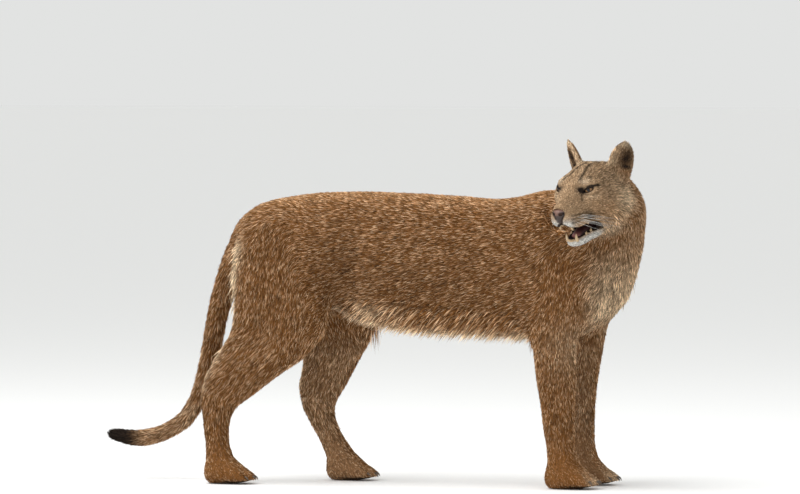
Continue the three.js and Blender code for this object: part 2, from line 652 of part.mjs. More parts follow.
const tongueField = flesh([oval(-30, 0, -74, 13, 22), oval(10, 0, -73, 9, 17), oval(36, 0, -76, 6, 13)]);
const tongue = inJaw(solid(net(tongueField, {
  spine: [V(-28, 0, -74), V(0, 0, -73), V(34, 0, -76)], rings: 6, sides: 12, reach: 40, domes: [2, 3],
})));

const jawNode = jawNet.subtract(inJaw(trough)).add(inJaw(lowerTeeth)).subtract(skullGrown)
  .subtract(inJaw(solid(net((p) => tongueField(p) - GAP, {
    spine: [V(-28, 0, -74), V(0, 0, -73), V(34, 0, -76)], rings: 6, sides: 12, reach: 40, domes: [2, 3],
  }))))
  .subtract(behindSkull).subtract(skullNode);
addNode('head', skullNode, MATERIALS.coat, head);
addNode('lower_jaw', jawNode, MATERIALS.pale, head);
addNode('tongue', tongue.subtract(skullGrown).subtract(upperTeeth), MATERIALS.mouth, head);
addNode('nose', nosePad.subtract(nostril(-1)).subtract(nostril(1)), MATERIALS.nose, head);

// Eyes and ears
function earShell(side, turn) {
  const root = V(-84, side * 51, 3);
  const tip = V(-90, side * 88, 98);
  const rise = tip.clone().sub(root).normalize();
  const open = V(Math.cos(radians(turn)), side * Math.sin(radians(turn)), 0);
  const out = rise.clone().cross(open).normalize().multiplyScalar(side);
  const front = out.clone().cross(rise).normalize().multiplyScalar(side);
  const layer = (shrink, forward) => {
    const hoops = [];
    for (let i = 0; i <= 6; i++) {
      const v = (i / 6) * 0.98;
      const half = (EAR_HALF_WIDTH - shrink) * Math.sqrt(1 - Math.pow(v, 2.6)) * (0.86 + 0.3 * v);
      const depth = (19 - shrink * 0.6) * (1 - 0.72 * v) * Math.sqrt(1 - Math.pow(v, 5));
      const centre = root.clone().addScaledVector(rise, EAR_HEIGHT * v)
        .addScaledVector(front, forward * (1 - 0.55 * v));
      hoops.push(Array.from({ length: 14 }, (_, k) => {
        const round = (2 * Math.PI * k) / 14;
        return centre.clone().addScaledVector(out, half * Math.cos(round))
          .addScaledVector(front, depth * Math.sin(round));
      }));
    }
    return solid(closed(hoops, [root.clone().addScaledVector(front, forward),
      root.clone().addScaledVector(rise, EAR_HEIGHT).addScaledVector(front, forward * 0.45)]));
  };
  return layer(0, 0).subtract(layer(EAR_WALL, 13));
}
for (const [side, name] of [[-1, 'right'], [1, 'left']]) {
  const centre = eyeCentre(side);
  addNode(`eye_${name}`, ball(EYE_RADIUS, centre.x, centre.y, centre.z, V(1, 1, 1), 16, 10), MATERIALS.eye, head);
  addNode(`ear_${name}`, earShell(side, EAR_TURN[name]).subtract(skullGrown), MATERIALS.coat, head);
}

// The origin goes to the middle of the footprint, on the ground.
cougar.updateMatrixWorld(true);
const box = new THREE.Box3().setFromObject(cougar, true);
cougar.position.set(-(box.min.x + box.max.x) / 2, -(box.min.y + box.max.y) / 2, -box.min.z);

export default cougar;
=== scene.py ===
import math

import bmesh
import bpy
import numpy as np
from mathutils import Matrix, Vector


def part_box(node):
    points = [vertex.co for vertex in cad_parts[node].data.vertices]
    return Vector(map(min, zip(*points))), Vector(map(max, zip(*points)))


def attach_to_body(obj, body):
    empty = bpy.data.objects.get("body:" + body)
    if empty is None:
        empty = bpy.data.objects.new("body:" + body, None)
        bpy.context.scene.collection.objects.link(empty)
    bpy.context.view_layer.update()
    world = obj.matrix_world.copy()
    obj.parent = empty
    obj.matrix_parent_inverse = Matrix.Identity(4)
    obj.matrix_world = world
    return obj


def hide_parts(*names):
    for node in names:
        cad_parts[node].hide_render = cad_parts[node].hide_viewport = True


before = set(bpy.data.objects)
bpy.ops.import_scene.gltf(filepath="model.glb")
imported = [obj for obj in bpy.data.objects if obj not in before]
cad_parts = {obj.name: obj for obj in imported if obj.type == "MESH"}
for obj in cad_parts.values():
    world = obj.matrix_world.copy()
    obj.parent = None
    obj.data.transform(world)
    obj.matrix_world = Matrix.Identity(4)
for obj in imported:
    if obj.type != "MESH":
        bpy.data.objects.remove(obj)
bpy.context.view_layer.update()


# Where the cat stands. Positions along the body are given in millimetres from the point on the
# ground under the middle of the ribs: +X to the chest, +Y to the left side, +Z up. The head has a
# frame of its own, midway between the eyes, with +X out through the nose.
def middle_of(node):
    low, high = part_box(node)
    return np.array((low + high) / 2)


HEAD_YAW, HEAD_PITCH = math.radians(-116), math.radians(8)
eye_middle = (middle_of("eye_left") + middle_of("eye_right")) / 2
BODY_ORIGIN = eye_middle - np.array((0.380, -0.227, 0.704))
turn = Matrix.Rotation(HEAD_YAW, 3, "Z") @ Matrix.Rotation(HEAD_PITCH, 3, "Y")
HEAD_AXES = np.array(turn)


def from_body(points):
    return np.asarray(points, float) / 1000 + BODY_ORIGIN


def to_body(points):
    return (points - BODY_ORIGIN) * 1000


def from_head(points):
    return (np.asarray(points, float) / 1000) @ HEAD_AXES.T + eye_middle


def to_head(points):
    return ((points - eye_middle) @ HEAD_AXES) * 1000


def ramp(x, start, end):
    t = np.clip((x - start) / (end - start), 0, 1)
    return t * t * (3 - 2 * t)


# The cat is seen from well off its right side, a little ahead of square and just above level. It
# stands on a plain pale floor, under soft light from overhead and from the left.
VIEW_TURN, VIEW_RISE = math.radians(14), math.radians(2)
VIEW_DISTANCE = 16.0
VIEW_WIDTH = 1.88
aim = from_body((-94 * math.cos(VIEW_TURN), -94 * math.sin(VIEW_TURN), 559))
back = Vector((
    math.sin(VIEW_TURN) * math.cos(VIEW_RISE),
    -math.cos(VIEW_TURN) * math.cos(VIEW_RISE),
    math.sin(VIEW_RISE),
))
camera_data = bpy.data.cameras.new("camera")
camera_data.sensor_width = 36
camera_data.lens = 36 * VIEW_DISTANCE / VIEW_WIDTH
camera_data.clip_end = 200
camera = bpy.data.objects.new("camera", camera_data)
bpy.context.scene.collection.objects.link(camera)
camera.location = Vector(aim) + back * VIEW_DISTANCE
camera.rotation_euler = (-back).to_track_quat("-Z", "Y").to_euler()
bpy.context.scene.camera = camera

bpy.ops.object.select_all(action="DESELECT")
bpy.ops.mesh.primitive_plane_add(size=120)
floor = bpy.context.object
floor.name = "floor"
floor_finish = bpy.data.materials.new("pale floor")
floor_finish.use_nodes = True
floor_shader = floor_finish.node_tree.nodes["Principled BSDF"]
floor_shader.inputs["Base Color"].default_value = (0.99, 0.99, 0.985, 1)
floor_shader.inputs["Roughness"].default_value = 0.9
floor.data.materials.append(floor_finish)

world = bpy.data.worlds.new("soft sky")
world.use_nodes = True
world.node_tree.nodes["Background"].inputs["Color"].default_value = (0.95, 0.96, 0.95, 1)
world.node_tree.nodes["Background"].inputs["Strength"].default_value = 0.80
bpy.context.scene.world = world
for name, energy, size, place in (
    ("overhead", 150, 4.0, (-1.5, -1.2, 4.2)),
    ("front", 60, 3.0, (-2.5, -4.5, 2.0)),
):
    light_data = bpy.data.lights.new(name, "AREA")
    light_data.energy = energy
    light_data.size = size
    light = bpy.data.objects.new(name, light_data)
    light.location = place
    light.rotation_euler = (Vector((0, 0, 0.45)) - Vector(place)).to_track_quat("-Z", "Y").to_euler()
    bpy.context.scene.collection.objects.link(light)
bpy.context.scene.view_settings.view_transform = "Standard"


# The lines that the body is built round: a chain of points with the flesh's half-width at each,
# in the order in which the coat lies, from the nose back to the tail and down to the toes.
def chain(points, place=from_body):
    points = np.array(points, float)
    return {"points": place(points[:, :3]), "width": points[:, 3] / 1000}


def leg_chain(points, side):
    return chain([(x, side * y, z, width) for x, y, z, width in points])


LINES = {
    "head": chain([(70, 0, -48, 30), (20, 0, -40, 46), (-40, 0, -22, 66), (-95, 0, -10, 72)], from_head),
    "neck": chain([
        (420, -150, 684, 66), (434, -118, 672, 76), (434, -82, 650, 84), (420, -45, 622, 90),
        (385, -8, 575, 104), (330, 0, 545, 120),
    ]),
    "trunk": chain([
        (330, 0, 545, 112), (200, 0, 518, 136), (60, 0, 520, 144), (-75, 0, 525, 140),
        (-195, 0, 545, 130), (-320, 0, 560, 120), (-425, 0, 580, 86),
    ]),
    "tail": chain([
        (-468, 0, 574, 35), (-511, 2, 498, 32), (-541, 5, 405, 29), (-555, 8, 335, 28),
        (-572, 12, 262, 27), (-594, 16, 195, 26), (-632, 20, 140, 26), (-690, 23, 108, 25),
        (-750, 24, 98, 24), (-806, 24, 106, 20),
    ]),
    "foreleg_right": leg_chain([
        (308, 86, 520, 52), (318, 90, 440, 52), (300, 92, 350, 48), (301, 86, 250, 42),
        (303, 78, 142, 37), (312, 76, 66, 34), (340, 76, 22, 40),
    ], -1),
    "foreleg_left": leg_chain([
        (312, 86, 520, 52), (325, 90, 440, 52), (314, 92, 350, 48), (315, 86, 250, 42),
        (317, 78, 142, 37), (326, 76, 66, 34), (354, 76, 22, 40),
    ], 1),
    "hindleg_right": leg_chain([
        (-375, 76, 550, 66), (-372, 86, 450, 70), (-386, 96, 365, 56), (-452, 95, 285, 42),
        (-512, 93, 212, 34), (-521, 92, 140, 31), (-514, 92, 66, 31), (-485, 92, 22, 38),
    ], -1),
    "hindleg_left": leg_chain([
        (-355, 76, 550, 66), (-312, 90, 440, 70), (-284, 98, 350, 56), (-300, 96, 270, 44),
        (-324, 93, 196, 34), (-303, 92, 132, 31), (-268, 92, 66, 31), (-232, 92, 22, 38),
    ], 1),
    "ear_right": chain([(-84, -51, 3, 22), (-87, -70, 51, 27), (-90, -88, 98, 14)], from_head),
    "ear_left": chain([(-84, 51, 3, 22), (-87, 70, 51, 27), (-90, 88, 98, 14)], from_head),
}


def along(line, points):
    """How far each point lies from a line, in half-widths, how far along it, and which way it runs."""
    nearest = np.full(len(points), np.inf)
    share = np.zeros(len(points))
    way = np.zeros((len(points), 3))
    gap = np.zeros(len(points))
    ends, widths = line["points"], line["width"]
    for i in range(len(ends) - 1):
        step = ends[i + 1] - ends[i]
        t = np.clip((points - ends[i]) @ step / (step @ step), 0, 1)
        distance = np.linalg.norm(points - ends[i] - t[:, None] * step, axis=1)
        score = distance / (widths[i] + (widths[i + 1] - widths[i]) * t)
        closer = score < nearest
        nearest[closer] = score[closer]
        gap[closer] = distance[closer]
        share[closer] = (i + t[closer]) / (len(ends) - 1)
        way[closer] = step / np.linalg.norm(step)
    return nearest, share, way, gap


# The skin is one sheet over the whole animal, fine on the face and coarser on the body. It lies
# inside the outline by the depth of the coat that grows from it.
FLESH = [
    "torso", "neck", "head", "lower_jaw", "ear_left", "ear_right", "tail_base", "tail_middle",
    "tail_tip", "foreleg_right", "foreleg_left", "hindleg_right", "hindleg_left",
    "forepaw_right", "forepaw_left", "hindpaw_right", "hindpaw_left",
]
SKIN_GRAIN = 0.0028
SKIN_TRIANGLES = 190000


def copy_of(nodes, name):
    """One merged mesh from copies of CAD nodes."""
    bpy.ops.object.select_all(action="DESELECT")
    copies = []
    for node in nodes:
        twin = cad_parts[node].copy()
        twin.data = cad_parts[node].data.copy()
        twin.parent = None
        for key in list(twin.keys()):
            del twin[key]
        bpy.context.scene.collection.objects.link(twin)
        twin.select_set(True)
        copies.append(twin)
    bpy.context.view_layer.objects.active = copies[0]
    if len(copies) > 1:
        bpy.ops.object.join()
    made = bpy.context.view_layer.objects.active
    made.name = made.data.name = name
    made.data.materials.clear()
    bpy.ops.object.mode_set(mode="EDIT")
    bpy.ops.mesh.select_all(action="SELECT")
    bpy.ops.mesh.remove_doubles(threshold=1e-6)
    bpy.ops.object.mode_set(mode="OBJECT")
    for attribute in [a.name for a in made.data.attributes if a.name.startswith(("custom", "sharp"))]:
        made.data.attributes.remove(made.data.attributes[attribute])
    return made


def places(mesh):
    co = np.zeros(len(mesh.vertices) * 3)
    mesh.vertices.foreach_get("co", co)
    return co.reshape(-1, 3)


def put_places(mesh, co):
    mesh.vertices.foreach_set("co", np.asarray(co, float).ravel())
    mesh.update()


def normals(mesh):
    n = np.zeros(len(mesh.vertices) * 3)
    mesh.vertex_normals.foreach_get("vector", n)
    return n.reshape(-1, 3)


def relax(mesh, co, amount, rounds):
    """Moves each point towards the middle of its neighbours, by its own amount."""
    edges = np.zeros(len(mesh.edges) * 2, int)
    mesh.edges.foreach_get("vertices", edges)
    a, b = edges.reshape(-1, 2).T
    count = np.bincount(a, minlength=len(co)) + np.bincount(b, minlength=len(co))
    for _ in range(rounds):
        total = np.stack([
            np.bincount(a, co[b, k], len(co)) + np.bincount(b, co[a, k], len(co)) for k in range(3)
        ], axis=1)
        co = co + (total / np.maximum(count, 1)[:, None] - co) * amount[:, None]
    return co


def region_scores(points):
    names = list(LINES)
    found = [along(LINES[name], points) for name in names]
    return names, found


def mouth_depth(head):
    """Below 1 in the hollow of the mouth, rising outwards. Positions are in the head's frame."""
    roof = np.minimum(
        np.linalg.norm((head - (20, 0, -81)) / (46, 24, 22), axis=1),
        np.linalg.norm((head - (-20, 0, -78)) / (40, 36, 23), axis=1),
    )
    shut = jaw_shut(head)
    trough = np.minimum(
        np.linalg.norm((shut - (20, 0, -71)) / (34, 17, 14), axis=1),
        np.linalg.norm((shut - (-24, 0, -69)) / (42, 31, 18), axis=1),
    )
    far = np.linalg.norm(head, axis=1) > 160
    return np.minimum(roof, trough) + 9 * far


# The lower jaw hangs open about a hinge below the cheek. GAPE is how far, and the hinge is at
# (-72, -38) in the head's X and Z.
GAPE = math.radians(17.5)


def jaw_turned(head, angle):
    x, z = head[:, 0] + 72, head[:, 2] + 38
    return np.stack([
        x * math.cos(angle) - z * math.sin(angle) - 72, head[:, 1],
        x * math.sin(angle) + z * math.cos(angle) - 38,
    ], axis=1)


def jaw_shut(head):
    return jaw_turned(head, GAPE)


def spot(points, centre, size):
    """A soft oval mark; size is one radius or three."""
    return np.exp(-(np.linalg.norm((points - centre) / np.asarray(size, float), axis=1) ** 2))


def stroke(points, ends, size):
    """A soft line through some places."""
    line = {"points": np.array(ends, float), "width": np.ones(len(ends))}
    return np.exp(-((along(line, points)[3] / size) ** 2))


def both_sides(points):
    return np.stack([points[:, 0], np.abs(points[:, 1]), points[:, 2]], axis=1)


EYE_CENTRES = np.array([(0, -39, 0), (0, 39, 0)], float)
EYE_RADIUS = 15.5


def eye_gap(head):
    return np.minimum(*(np.linalg.norm(head - centre, axis=1) for centre in EYE_CENTRES))


LIP = (1.03, 1.16)  # the mouth's depth over which wet lining turns to haired skin


def skin_zones(co):
    """Points in the head's frame, and how far each is paw, head, firm flesh, eyelid and mouth."""
    head = to_head(co)
    paw = 1 - ramp(to_body(co)[:, 2], 60, 105)
    on_head = ramp(head[:, 0], -115, -80) * (np.linalg.norm(head, axis=1) < 190)
    lid = 1 - ramp(eye_gap(head), 19, 26)
    mouth = 1 - ramp(mouth_depth(head), *LIP)
    return head, paw, on_head, np.maximum(on_head, paw), lid, mouth


skin = copy_of(FLESH, "skin")
skin.data.remesh_voxel_size = SKIN_GRAIN
skin.data.remesh_voxel_adaptivity = 0
bpy.ops.object.voxel_remesh()
co = places(skin.data)
region_names, found = region_scores(co)
scores = np.stack([f[0] for f in found], axis=1)
ears = [region_names.index(name) for name in ("ear_right", "ear_left")]
ear = scores[:, ears].min(1) < 1.5
head, paw, on_head, firm, lid, mouth = skin_zones(co)
co = relax(skin.data, co, 0.55 * (1 - firm), 90)
co = relax(skin.data, co, 0.5 * firm * (1 - 0.7 * lid) * (1 - 0.6 * ear) * (1 - 0.6 * paw), 9)
co = relax(skin.data, co, 0.55 * mouth, 34)
put_places(skin.data, co)

# The front of the head is twice as fine as the rest.
bpy.ops.object.select_all(action="DESELECT")
skin.select_set(True)
bpy.context.view_layer.objects.active = skin
bpy.ops.object.mode_set(mode="EDIT")
fine = bmesh.from_edit_mesh(skin.data)
middles = to_head(np.array([face.calc_center_median() for face in fine.faces]))
chosen = np.linalg.norm((middles - (12, 0, -42)) / (1.1, 1, 1.15), axis=1) < 78
for face, picked in zip(fine.faces, chosen):
    face.select_set(bool(picked))
bmesh.update_edit_mesh(skin.data)
bpy.ops.mesh.subdivide(number_cuts=1)
bpy.ops.object.mode_set(mode="OBJECT")
co = places(skin.data)
head, paw, on_head, firm, lid, mouth = skin_zones(co)
co = relax(skin.data, co, 0.5 * firm * (1 - 0.6 * lid) * (1 - paw), 5)

# Depth of the coat at each point, in metres, by which the skin lies inside the outline.
COAT_DEPTH = {
    "head": 0.0025, "ear": 0.0006, "neck": 0.006, "trunk": 0.006, "tail": 0.006, "foreleg": 0.004,
    "hindleg": 0.004,
}
scores = np.stack([f[0] for f in region_scores(co)[1]], axis=1)
nearness = np.exp(-8 * (scores - scores.min(1)[:, None]))
nearness /= nearness.sum(1)[:, None]
depths = np.array([COAT_DEPTH[name.split("_")[0]] for name in region_names])
depth = (nearness @ depths) * (1 - 0.55 * paw) * (1 - mouth) * (1 - 0.85 * lid)

# Muscle and bone that show through: hollows and swellings in millimetres, on both sides alike.
body, face = both_sides(to_body(co)), both_sides(head)
relief = (
    -9 * spot(body, (-212, 108, 520), (46, 50, 105))
    - 5 * spot(body, (222, 100, 470), (28, 45, 110))
    + 5 * spot(body, (268, 84, 610), (34, 40, 60))
    - 5 * spot(body, (340, 82, 560), (26, 40, 70))
    + 5 * spot(body, (-345, 105, 490), (60, 50, 70))
    + 4 * spot(body, (-300, 104, 395), (40, 40, 34))
    - 4 * spot(body, (252, 116, 375), (20, 30, 26))
) * (1 - on_head)
relief += on_head * (
    2.2 * spot(face, (10, 37, 17), (15, 15, 6))
    - 2.4 * spot(face, (22, 25, -9), (11, 6, 7))
    - 1.4 * spot(face, (42, 19, -30), (15, 7, 9))
    - 2.6 * spot(face, (76, 0, -70), (9, 2.6, 12))
    + 1.8 * spot(face, (58, 20, -62), (13, 9, 11))
    - 1.6 * stroke(face, [(36, 34, -52), (10, 46, -50), (-14, 55, -52)], 5)
    + 2.6 * spot(face, (-48, 66, -58), (30, 18, 26))
    + 1.4 * spot(face, (-16, 54, -18), (14, 10, 8))
    - 1.6 * stroke(face, [(14, 0, 24), (-50, 0, 56)], 6)
)
put_places(skin.data, co + normals(skin.data) * (relief / 1000 - depth)[:, None])
body_group = skin.vertex_groups.new(name="body")
tenths = np.round((1 - 0.9 * firm) * 10)
for step in range(11):
    body_group.add(np.nonzero(tenths == step)[0].tolist(), step / 10, "REPLACE")
skin.data.calc_loop_triangles()
thinner = skin.modifiers.new("thinner", "DECIMATE")
thinner.ratio = SKIN_TRIANGLES / len(skin.data.loop_triangles)
thinner.vertex_group = "body"
bpy.ops.object.modifier_apply(modifier="thinner")
skin.vertex_groups.clear()
bpy.ops.object.shade_smooth()


# Markings, the same on skin and coat: how pale, white, dark, rusty or grey the coat is at a place, with
# some painted shade among the dark marks and painted light among the rust. Each is about 1 where the
# marking is full. A mark lies on the surface over its centre.
def mark(points, facing, centre, size, depth=16):
    gap = points - centre
    outward = (gap * facing).sum(1)
    gap = gap - 0.92 * facing * outward[:, None]
    soft = np.exp(-(np.linalg.norm(gap / np.asarray(size, float), axis=1) ** 2))
    return soft * (np.abs(outward) < depth)


def streak(points, facing, ends, size, depth=16):
    """A line of marks through some places, a little apart."""
    ends = np.array(ends, float)
    steps = np.linalg.norm(np.diff(ends, axis=0), axis=1)
    found = np.zeros(len(points))
    for first, last, step in zip(ends[:-1], ends[1:], steps):
        for t in np.linspace(0, 1, max(2, int(step / size) + 1)):
            found = np.maximum(found, mark(points, facing, first + (last - first) * t, size, depth))
    return found


EAR_TURN = {"ear_right": 34, "ear_left": 48}
EAR_HEIGHT, EAR_HALF_WIDTH = 103, 36


def ear_places(points, name):
    """Across an ear from its inner to its outer edge, -1 to 1, up it from 0 to 1, and how near."""
    hand = -1 if name == "ear_right" else 1
    head = to_head(points)
    root, tip = np.array((-84, hand * 51, 3.0)), np.array((-90, hand * 88, 98.0))
    opens = math.radians(EAR_TURN[name])
    rise = (tip - root) / np.linalg.norm(tip - root)
    out = np.cross(rise, (math.cos(opens), hand * math.sin(opens), 0))
    out *= hand / np.linalg.norm(out)
    front = np.cross(out, rise) * hand
    up = (head - root) @ rise / EAR_HEIGHT
    across = (head - root) @ out / EAR_HALF_WIDTH
    near = ramp(up, 0.26, 0.42) * (1 - ramp(np.abs(across), 1.25, 1.5))
    near = near * (np.abs((head - root) @ front) < 40)
    return across, up, near, front @ HEAD_AXES.T


def lip_corner(head):
    """1 at the corner of the mouth, and 0 further forwards."""
    return 1 - ramp(head[:, 0], 5, 35)


def markings(points, facing):
    body, head = to_body(points), to_head(points)
    face, outward = both_sides(head), facing @ HEAD_AXES
    outward[:, 1] *= np.sign(head[:, 1])
    near_head = 1 - ramp(np.linalg.norm(head - (-20, 0, -30), axis=1), 120, 165)
    off_head = 1 - near_head
    _, tail_share, _, tail_gap = along(LINES["tail"], points)
    on_tail = 1 - ramp(tail_gap, 0.036, 0.048)
    mouth = mouth_depth(head)
    inner = ramp(-np.sign(body[:, 1]) * facing[:, 1], 0.1, 0.8)
    low = 1 - ramp(body[:, 2], 300, 380)
    under = ramp(-facing[:, 2], 0.75, 0.97) * off_head * (1 - on_tail)
    front = ramp(body[:, 0], 350, 430) * ramp(facing[:, 0], -0.2, 0.6) * off_head

    def on_face(amount, centre, size, depth=16):
        return amount * near_head * mark(face, outward, centre, size, depth)

    def face_line(amount, ends, size):
        return amount * near_head * streak(face, outward, ends, size)

    def on_body(amount, centre, size):
        return amount * mark(body, facing, centre, size, 45)

    def body_line(amount, ends, size, depth=30):
        return amount * streak(body, facing, ends, size, depth)

    # cream below, on the chest, down the back of each thigh, and over, under and behind the eyes
    pale = np.max([
        0.6 * under * ramp(body[:, 2], 250, 330),
        0.15 * inner * low * off_head,
        0.58 * front * (1 - ramp(body[:, 2], 440, 600)),
        on_body(0.7, (428, -60, 404), (46, 50, 55)),
        on_body(0.25, (350, -110, 330), (60, 40, 60)),
        on_body(0.4, (-170, -95, 385), (75, 40, 26)),
        body_line(0.9, [(-463, -78, 552), (-488, -84, 388), (-507, -86, 317), (-550, -90, 246)], 20, 62),
        body_line(0.9, [(-458, 78, 552), (-445, 84, 440), (-396, 86, 330), (-372, 90, 238)], 20, 62),
        on_face(0.7, (12, 34, 19), (13, 13, 7)),
        on_face(0.7, (6, 44, -17), (17, 16, 4)),
        on_face(0.45, (-62, 40, -105), (44, 40, 22)),
        on_face(0.55, (-92, 88, -30), (20, 24, 40), 40),
        on_face(0.45, (-40, 64, -28), (30, 26, 28)),
        on_face(0.85, (-76, 74, -34), (44, 32, 32), 50),
    ], axis=0)
    # white chin and lips
    white = np.max([
        near_head * ramp(-jaw_shut(head)[:, 2], 75, 83) * ramp(head[:, 0], -38, -14),
        on_face(1.2, (66, 17, -71), (15, 13, 10)),
        on_face(0.4, (56, 27, -77), (10, 9, 7)),
        on_face(0.12, (12, 33, 16), (10, 9, 4)),
    ], axis=0)
    # the tail's tip, whisker pad, eye corners, brow lines, lip, hocks and soles, and painted shade on the
    # near side in the flank's hollow and low along the ribs
    dark = np.max([
        on_tail * ramp(tail_share, 0.82, 0.93),
        on_face(0.9, (19, 45, -60), (12, 10, 13)),
        on_face(2.2, (16, 28, -4), (10, 10, 8)),
        on_face(0.8, (-2, 36, 28), (4, 4, 4)),
        face_line(1.3, [(16, 26, -3), (9, 40, 5), (-6, 56, 7)], 3.2),
        face_line(0.75, [(22, 24, -10), (26, 30, -22)], 3.0),
        *(face_line(0.75, [(60, 24, z), (26, 42, z + 3)], 1.8) for z in (-54, -60, -66)),
        face_line(0.85, [(12, 22, 18), (-12, 15, 36), (-48, 9, 54)], 3.4),
        0.95 * near_head * (1 - ramp(mouth - 0.12 * lip_corner(head), 1.17, 1.25)),
        body_line(0.5, [(-560, -92, 225), (-556, -92, 150), (-552, -92, 80)], 15),
        body_line(0.5, [(-366, 92, 205), (-345, 92, 150)], 13),
        # painted shade: darkens the hollow of the near flank and a broad band low on the near side's ribs
        on_body(0.25, (-212, -108, 520), (40, 60, 95)),
        on_body(0.14, (-20, -118, 480), (190, 60, 90)),
        0.8 * ramp(-facing[:, 2], 0.6, 0.9) * (body[:, 2] < 9),
    ], axis=0)
    rust = on_face(0.9, (-50, 68, -44), (46, 34, 26), 50)
    for name in EAR_TURN:
        across, up, near, opening = ear_places(points, name)
        behind = ramp(-(facing @ opening), 0.0, 0.4) * near
        bowl = near * ramp(facing @ opening, -0.3, 0.2)
        flat = np.stack([across, up, up], axis=1)
        middle = spot(flat, (0.22, 0.58, 0.58), (0.50, 0.42, 0.42))
        notch = spot(flat, (0.3, 0.34, 0.34), (0.42, 0.17, 0.17))
        # painted shade: darkens the bowl of each ear, most at the notch low in it
        ear_bowl_shadow = np.maximum(0.95 * middle, 1.4 * notch)
        dark = np.max([dark * (1 - bowl), 0.4 * behind, bowl * ear_bowl_shadow], axis=0)
        rust = np.maximum(rust, 0.9 * bowl * middle)
        edge = ramp(np.maximum(np.abs(across), up), 0.74, 0.92)
        pale = np.maximum(pale, bowl * np.maximum(0.95 * edge, 0.5 * (1 - middle)))

    # painted light: coat facing up, off the head, is tinted towards the brighter rust colour
    rust = np.maximum(rust, 0.3 * ramp(facing[:, 2], 0.5, 0.95) * off_head)
    on_mask = 1 - ramp(np.linalg.norm(head - (-10, 0, -25), axis=1), 88, 135)
    grey = np.maximum(on_mask * np.clip(0.75 - 0.7 * rust - 0.7 * pale, 0, 1), 0.25 * front)
    lining = 1 - ramp(mouth, *LIP)
    found = {"pale": pale, "white": white, "dark": dark, "rust": rust, "grey": grey, "mouth": lining}
    return {key: np.clip(value, 0, 1) for key, value in found.items()}


def attach(mesh, values):
    for name, value in values.items():
        attribute = mesh.attributes.new(name, "FLOAT", "POINT")
        attribute.data.foreach_set("value", np.asarray(value, np.float32))


def soft_noise(points, size, seed):
    """Smooth random waves of about one size, from -1 to 1."""
    draw = np.random.default_rng(seed)
    total = np.zeros(len(points))
    for _ in range(9):
        wave = draw.normal(size=3)
        wave *= 2 * math.pi / size / np.linalg.norm(wave) * draw.uniform(0.6, 1.5)
        total += np.sin(points @ wave + draw.uniform(0, 6.28))
    return total / 4.5


co, facing = places(skin.data), normals(skin.data)
attach(skin.data, markings(co, facing))


# The coat's colours: tawny over the body, cream below, grey-brown on the face, rust on the cheeks and
# black-brown marks. A hair is darkest at its root, partly its own colour and partly painted shade deep in
# the coat.
COAT_COLOURS = {
    "Tawny": (0.278, 0.114, 0.030, 1), "Rust": (0.47, 0.235, 0.088, 1), "Grey": (0.49, 0.34, 0.205, 1),
    "Pale": (0.78, 0.60, 0.40, 1), "White": (0.74, 0.71, 0.66, 1), "Dark": (0.022, 0.014, 0.010, 1),
}
# painted shade: the whole inside of the open mouth is one near-black colour
SHADED_MOUTH_LINING = (0.02, 0.012, 0.012, 1)
MARKS = ("rust", "grey", "pale", "white", "dark")


def feed(tree, source, socket):
    """Gives a socket a plain value or the output of another node."""
    if isinstance(source, bpy.types.NodeSocket):
        tree.links.new(source, socket)
    else:
        socket.default_value = source


def colour_mix(tree, first, second, share):
    mix = tree.nodes.new("ShaderNodeMix")
    mix.data_type = "RGBA"
    feed(tree, share, mix.inputs["Factor"])
    feed(tree, first, mix.inputs[6])
    feed(tree, second, mix.inputs[7])
    return mix.outputs[2]


def calculation(tree, operation, *values):
    node = tree.nodes.new("ShaderNodeMath")
    node.operation = operation
    for value, socket in zip(values, node.inputs):
        feed(tree, value, socket)
    return node.outputs[0]


def shaded(tree, colour, amount):
    """A colour made lighter or darker by an amount."""
    node = tree.nodes.new("ShaderNodeVectorMath")
    node.operation = "SCALE"
    feed(tree, colour, node.inputs[0])
    feed(tree, amount, node.inputs["Scale"])
    return node.outputs[0]


def attribute_of(tree, name):
    node = tree.nodes.new("ShaderNodeAttribute")
    node.attribute_name = name
    return node.outputs["Fac"]


def texture_of(tree, kind, scale, detail=None):
    """The value of a noise or cell pattern that keeps its place on the animal."""
    node = tree.nodes.new(kind)
    node.inputs["Scale"].default_value = scale
    if detail is not None:
        node.inputs["Detail"].default_value = detail
    where = tree.nodes.new("ShaderNodeTexCoord")
    tree.links.new(where.outputs["Object"], node.inputs["Vector"])
    return node.outputs[0]


def roughen(tree, shader, height, strength, depth):
    bump = tree.nodes.new("ShaderNodeBump")
    bump.inputs["Strength"].default_value = strength
    bump.inputs["Distance"].default_value = depth
    tree.links.new(height, bump.inputs["Height"])
    tree.links.new(bump.outputs["Normal"], shader.inputs["Normal"])


def finish(name, roughness, specular=0.5):
    """A new material, with its nodes and its shader."""
    made = bpy.data.materials.new(name)
    made.use_nodes = True
    shader = made.node_tree.nodes["Principled BSDF"]
    shader.inputs["Roughness"].default_value = roughness
    shader.inputs["Specular IOR Level"].default_value = specular
    return made, made.node_tree, shader


coat_colour = bpy.data.node_groups.new("coat colour", "ShaderNodeTree")
for name in COAT_COLOURS:
    coat_colour.interface.new_socket(name, in_out="INPUT", socket_type="NodeSocketColor")
for name in (*MARKS, "shade"):
    coat_colour.interface.new_socket(name, in_out="INPUT", socket_type="NodeSocketFloat")
coat_colour.interface.new_socket("Color", in_out="OUTPUT", socket_type="NodeSocketColor")
given = coat_colour.nodes.new("NodeGroupInput").outputs
result = coat_colour.nodes.new("NodeGroupOutput").inputs
colour = given["Tawny"]
for name in MARKS:
    colour = colour_mix(coat_colour, colour, given[name.capitalize()], given[name])
coat_colour.links.new(shaded(coat_colour, colour, given["shade"]), result["Color"])


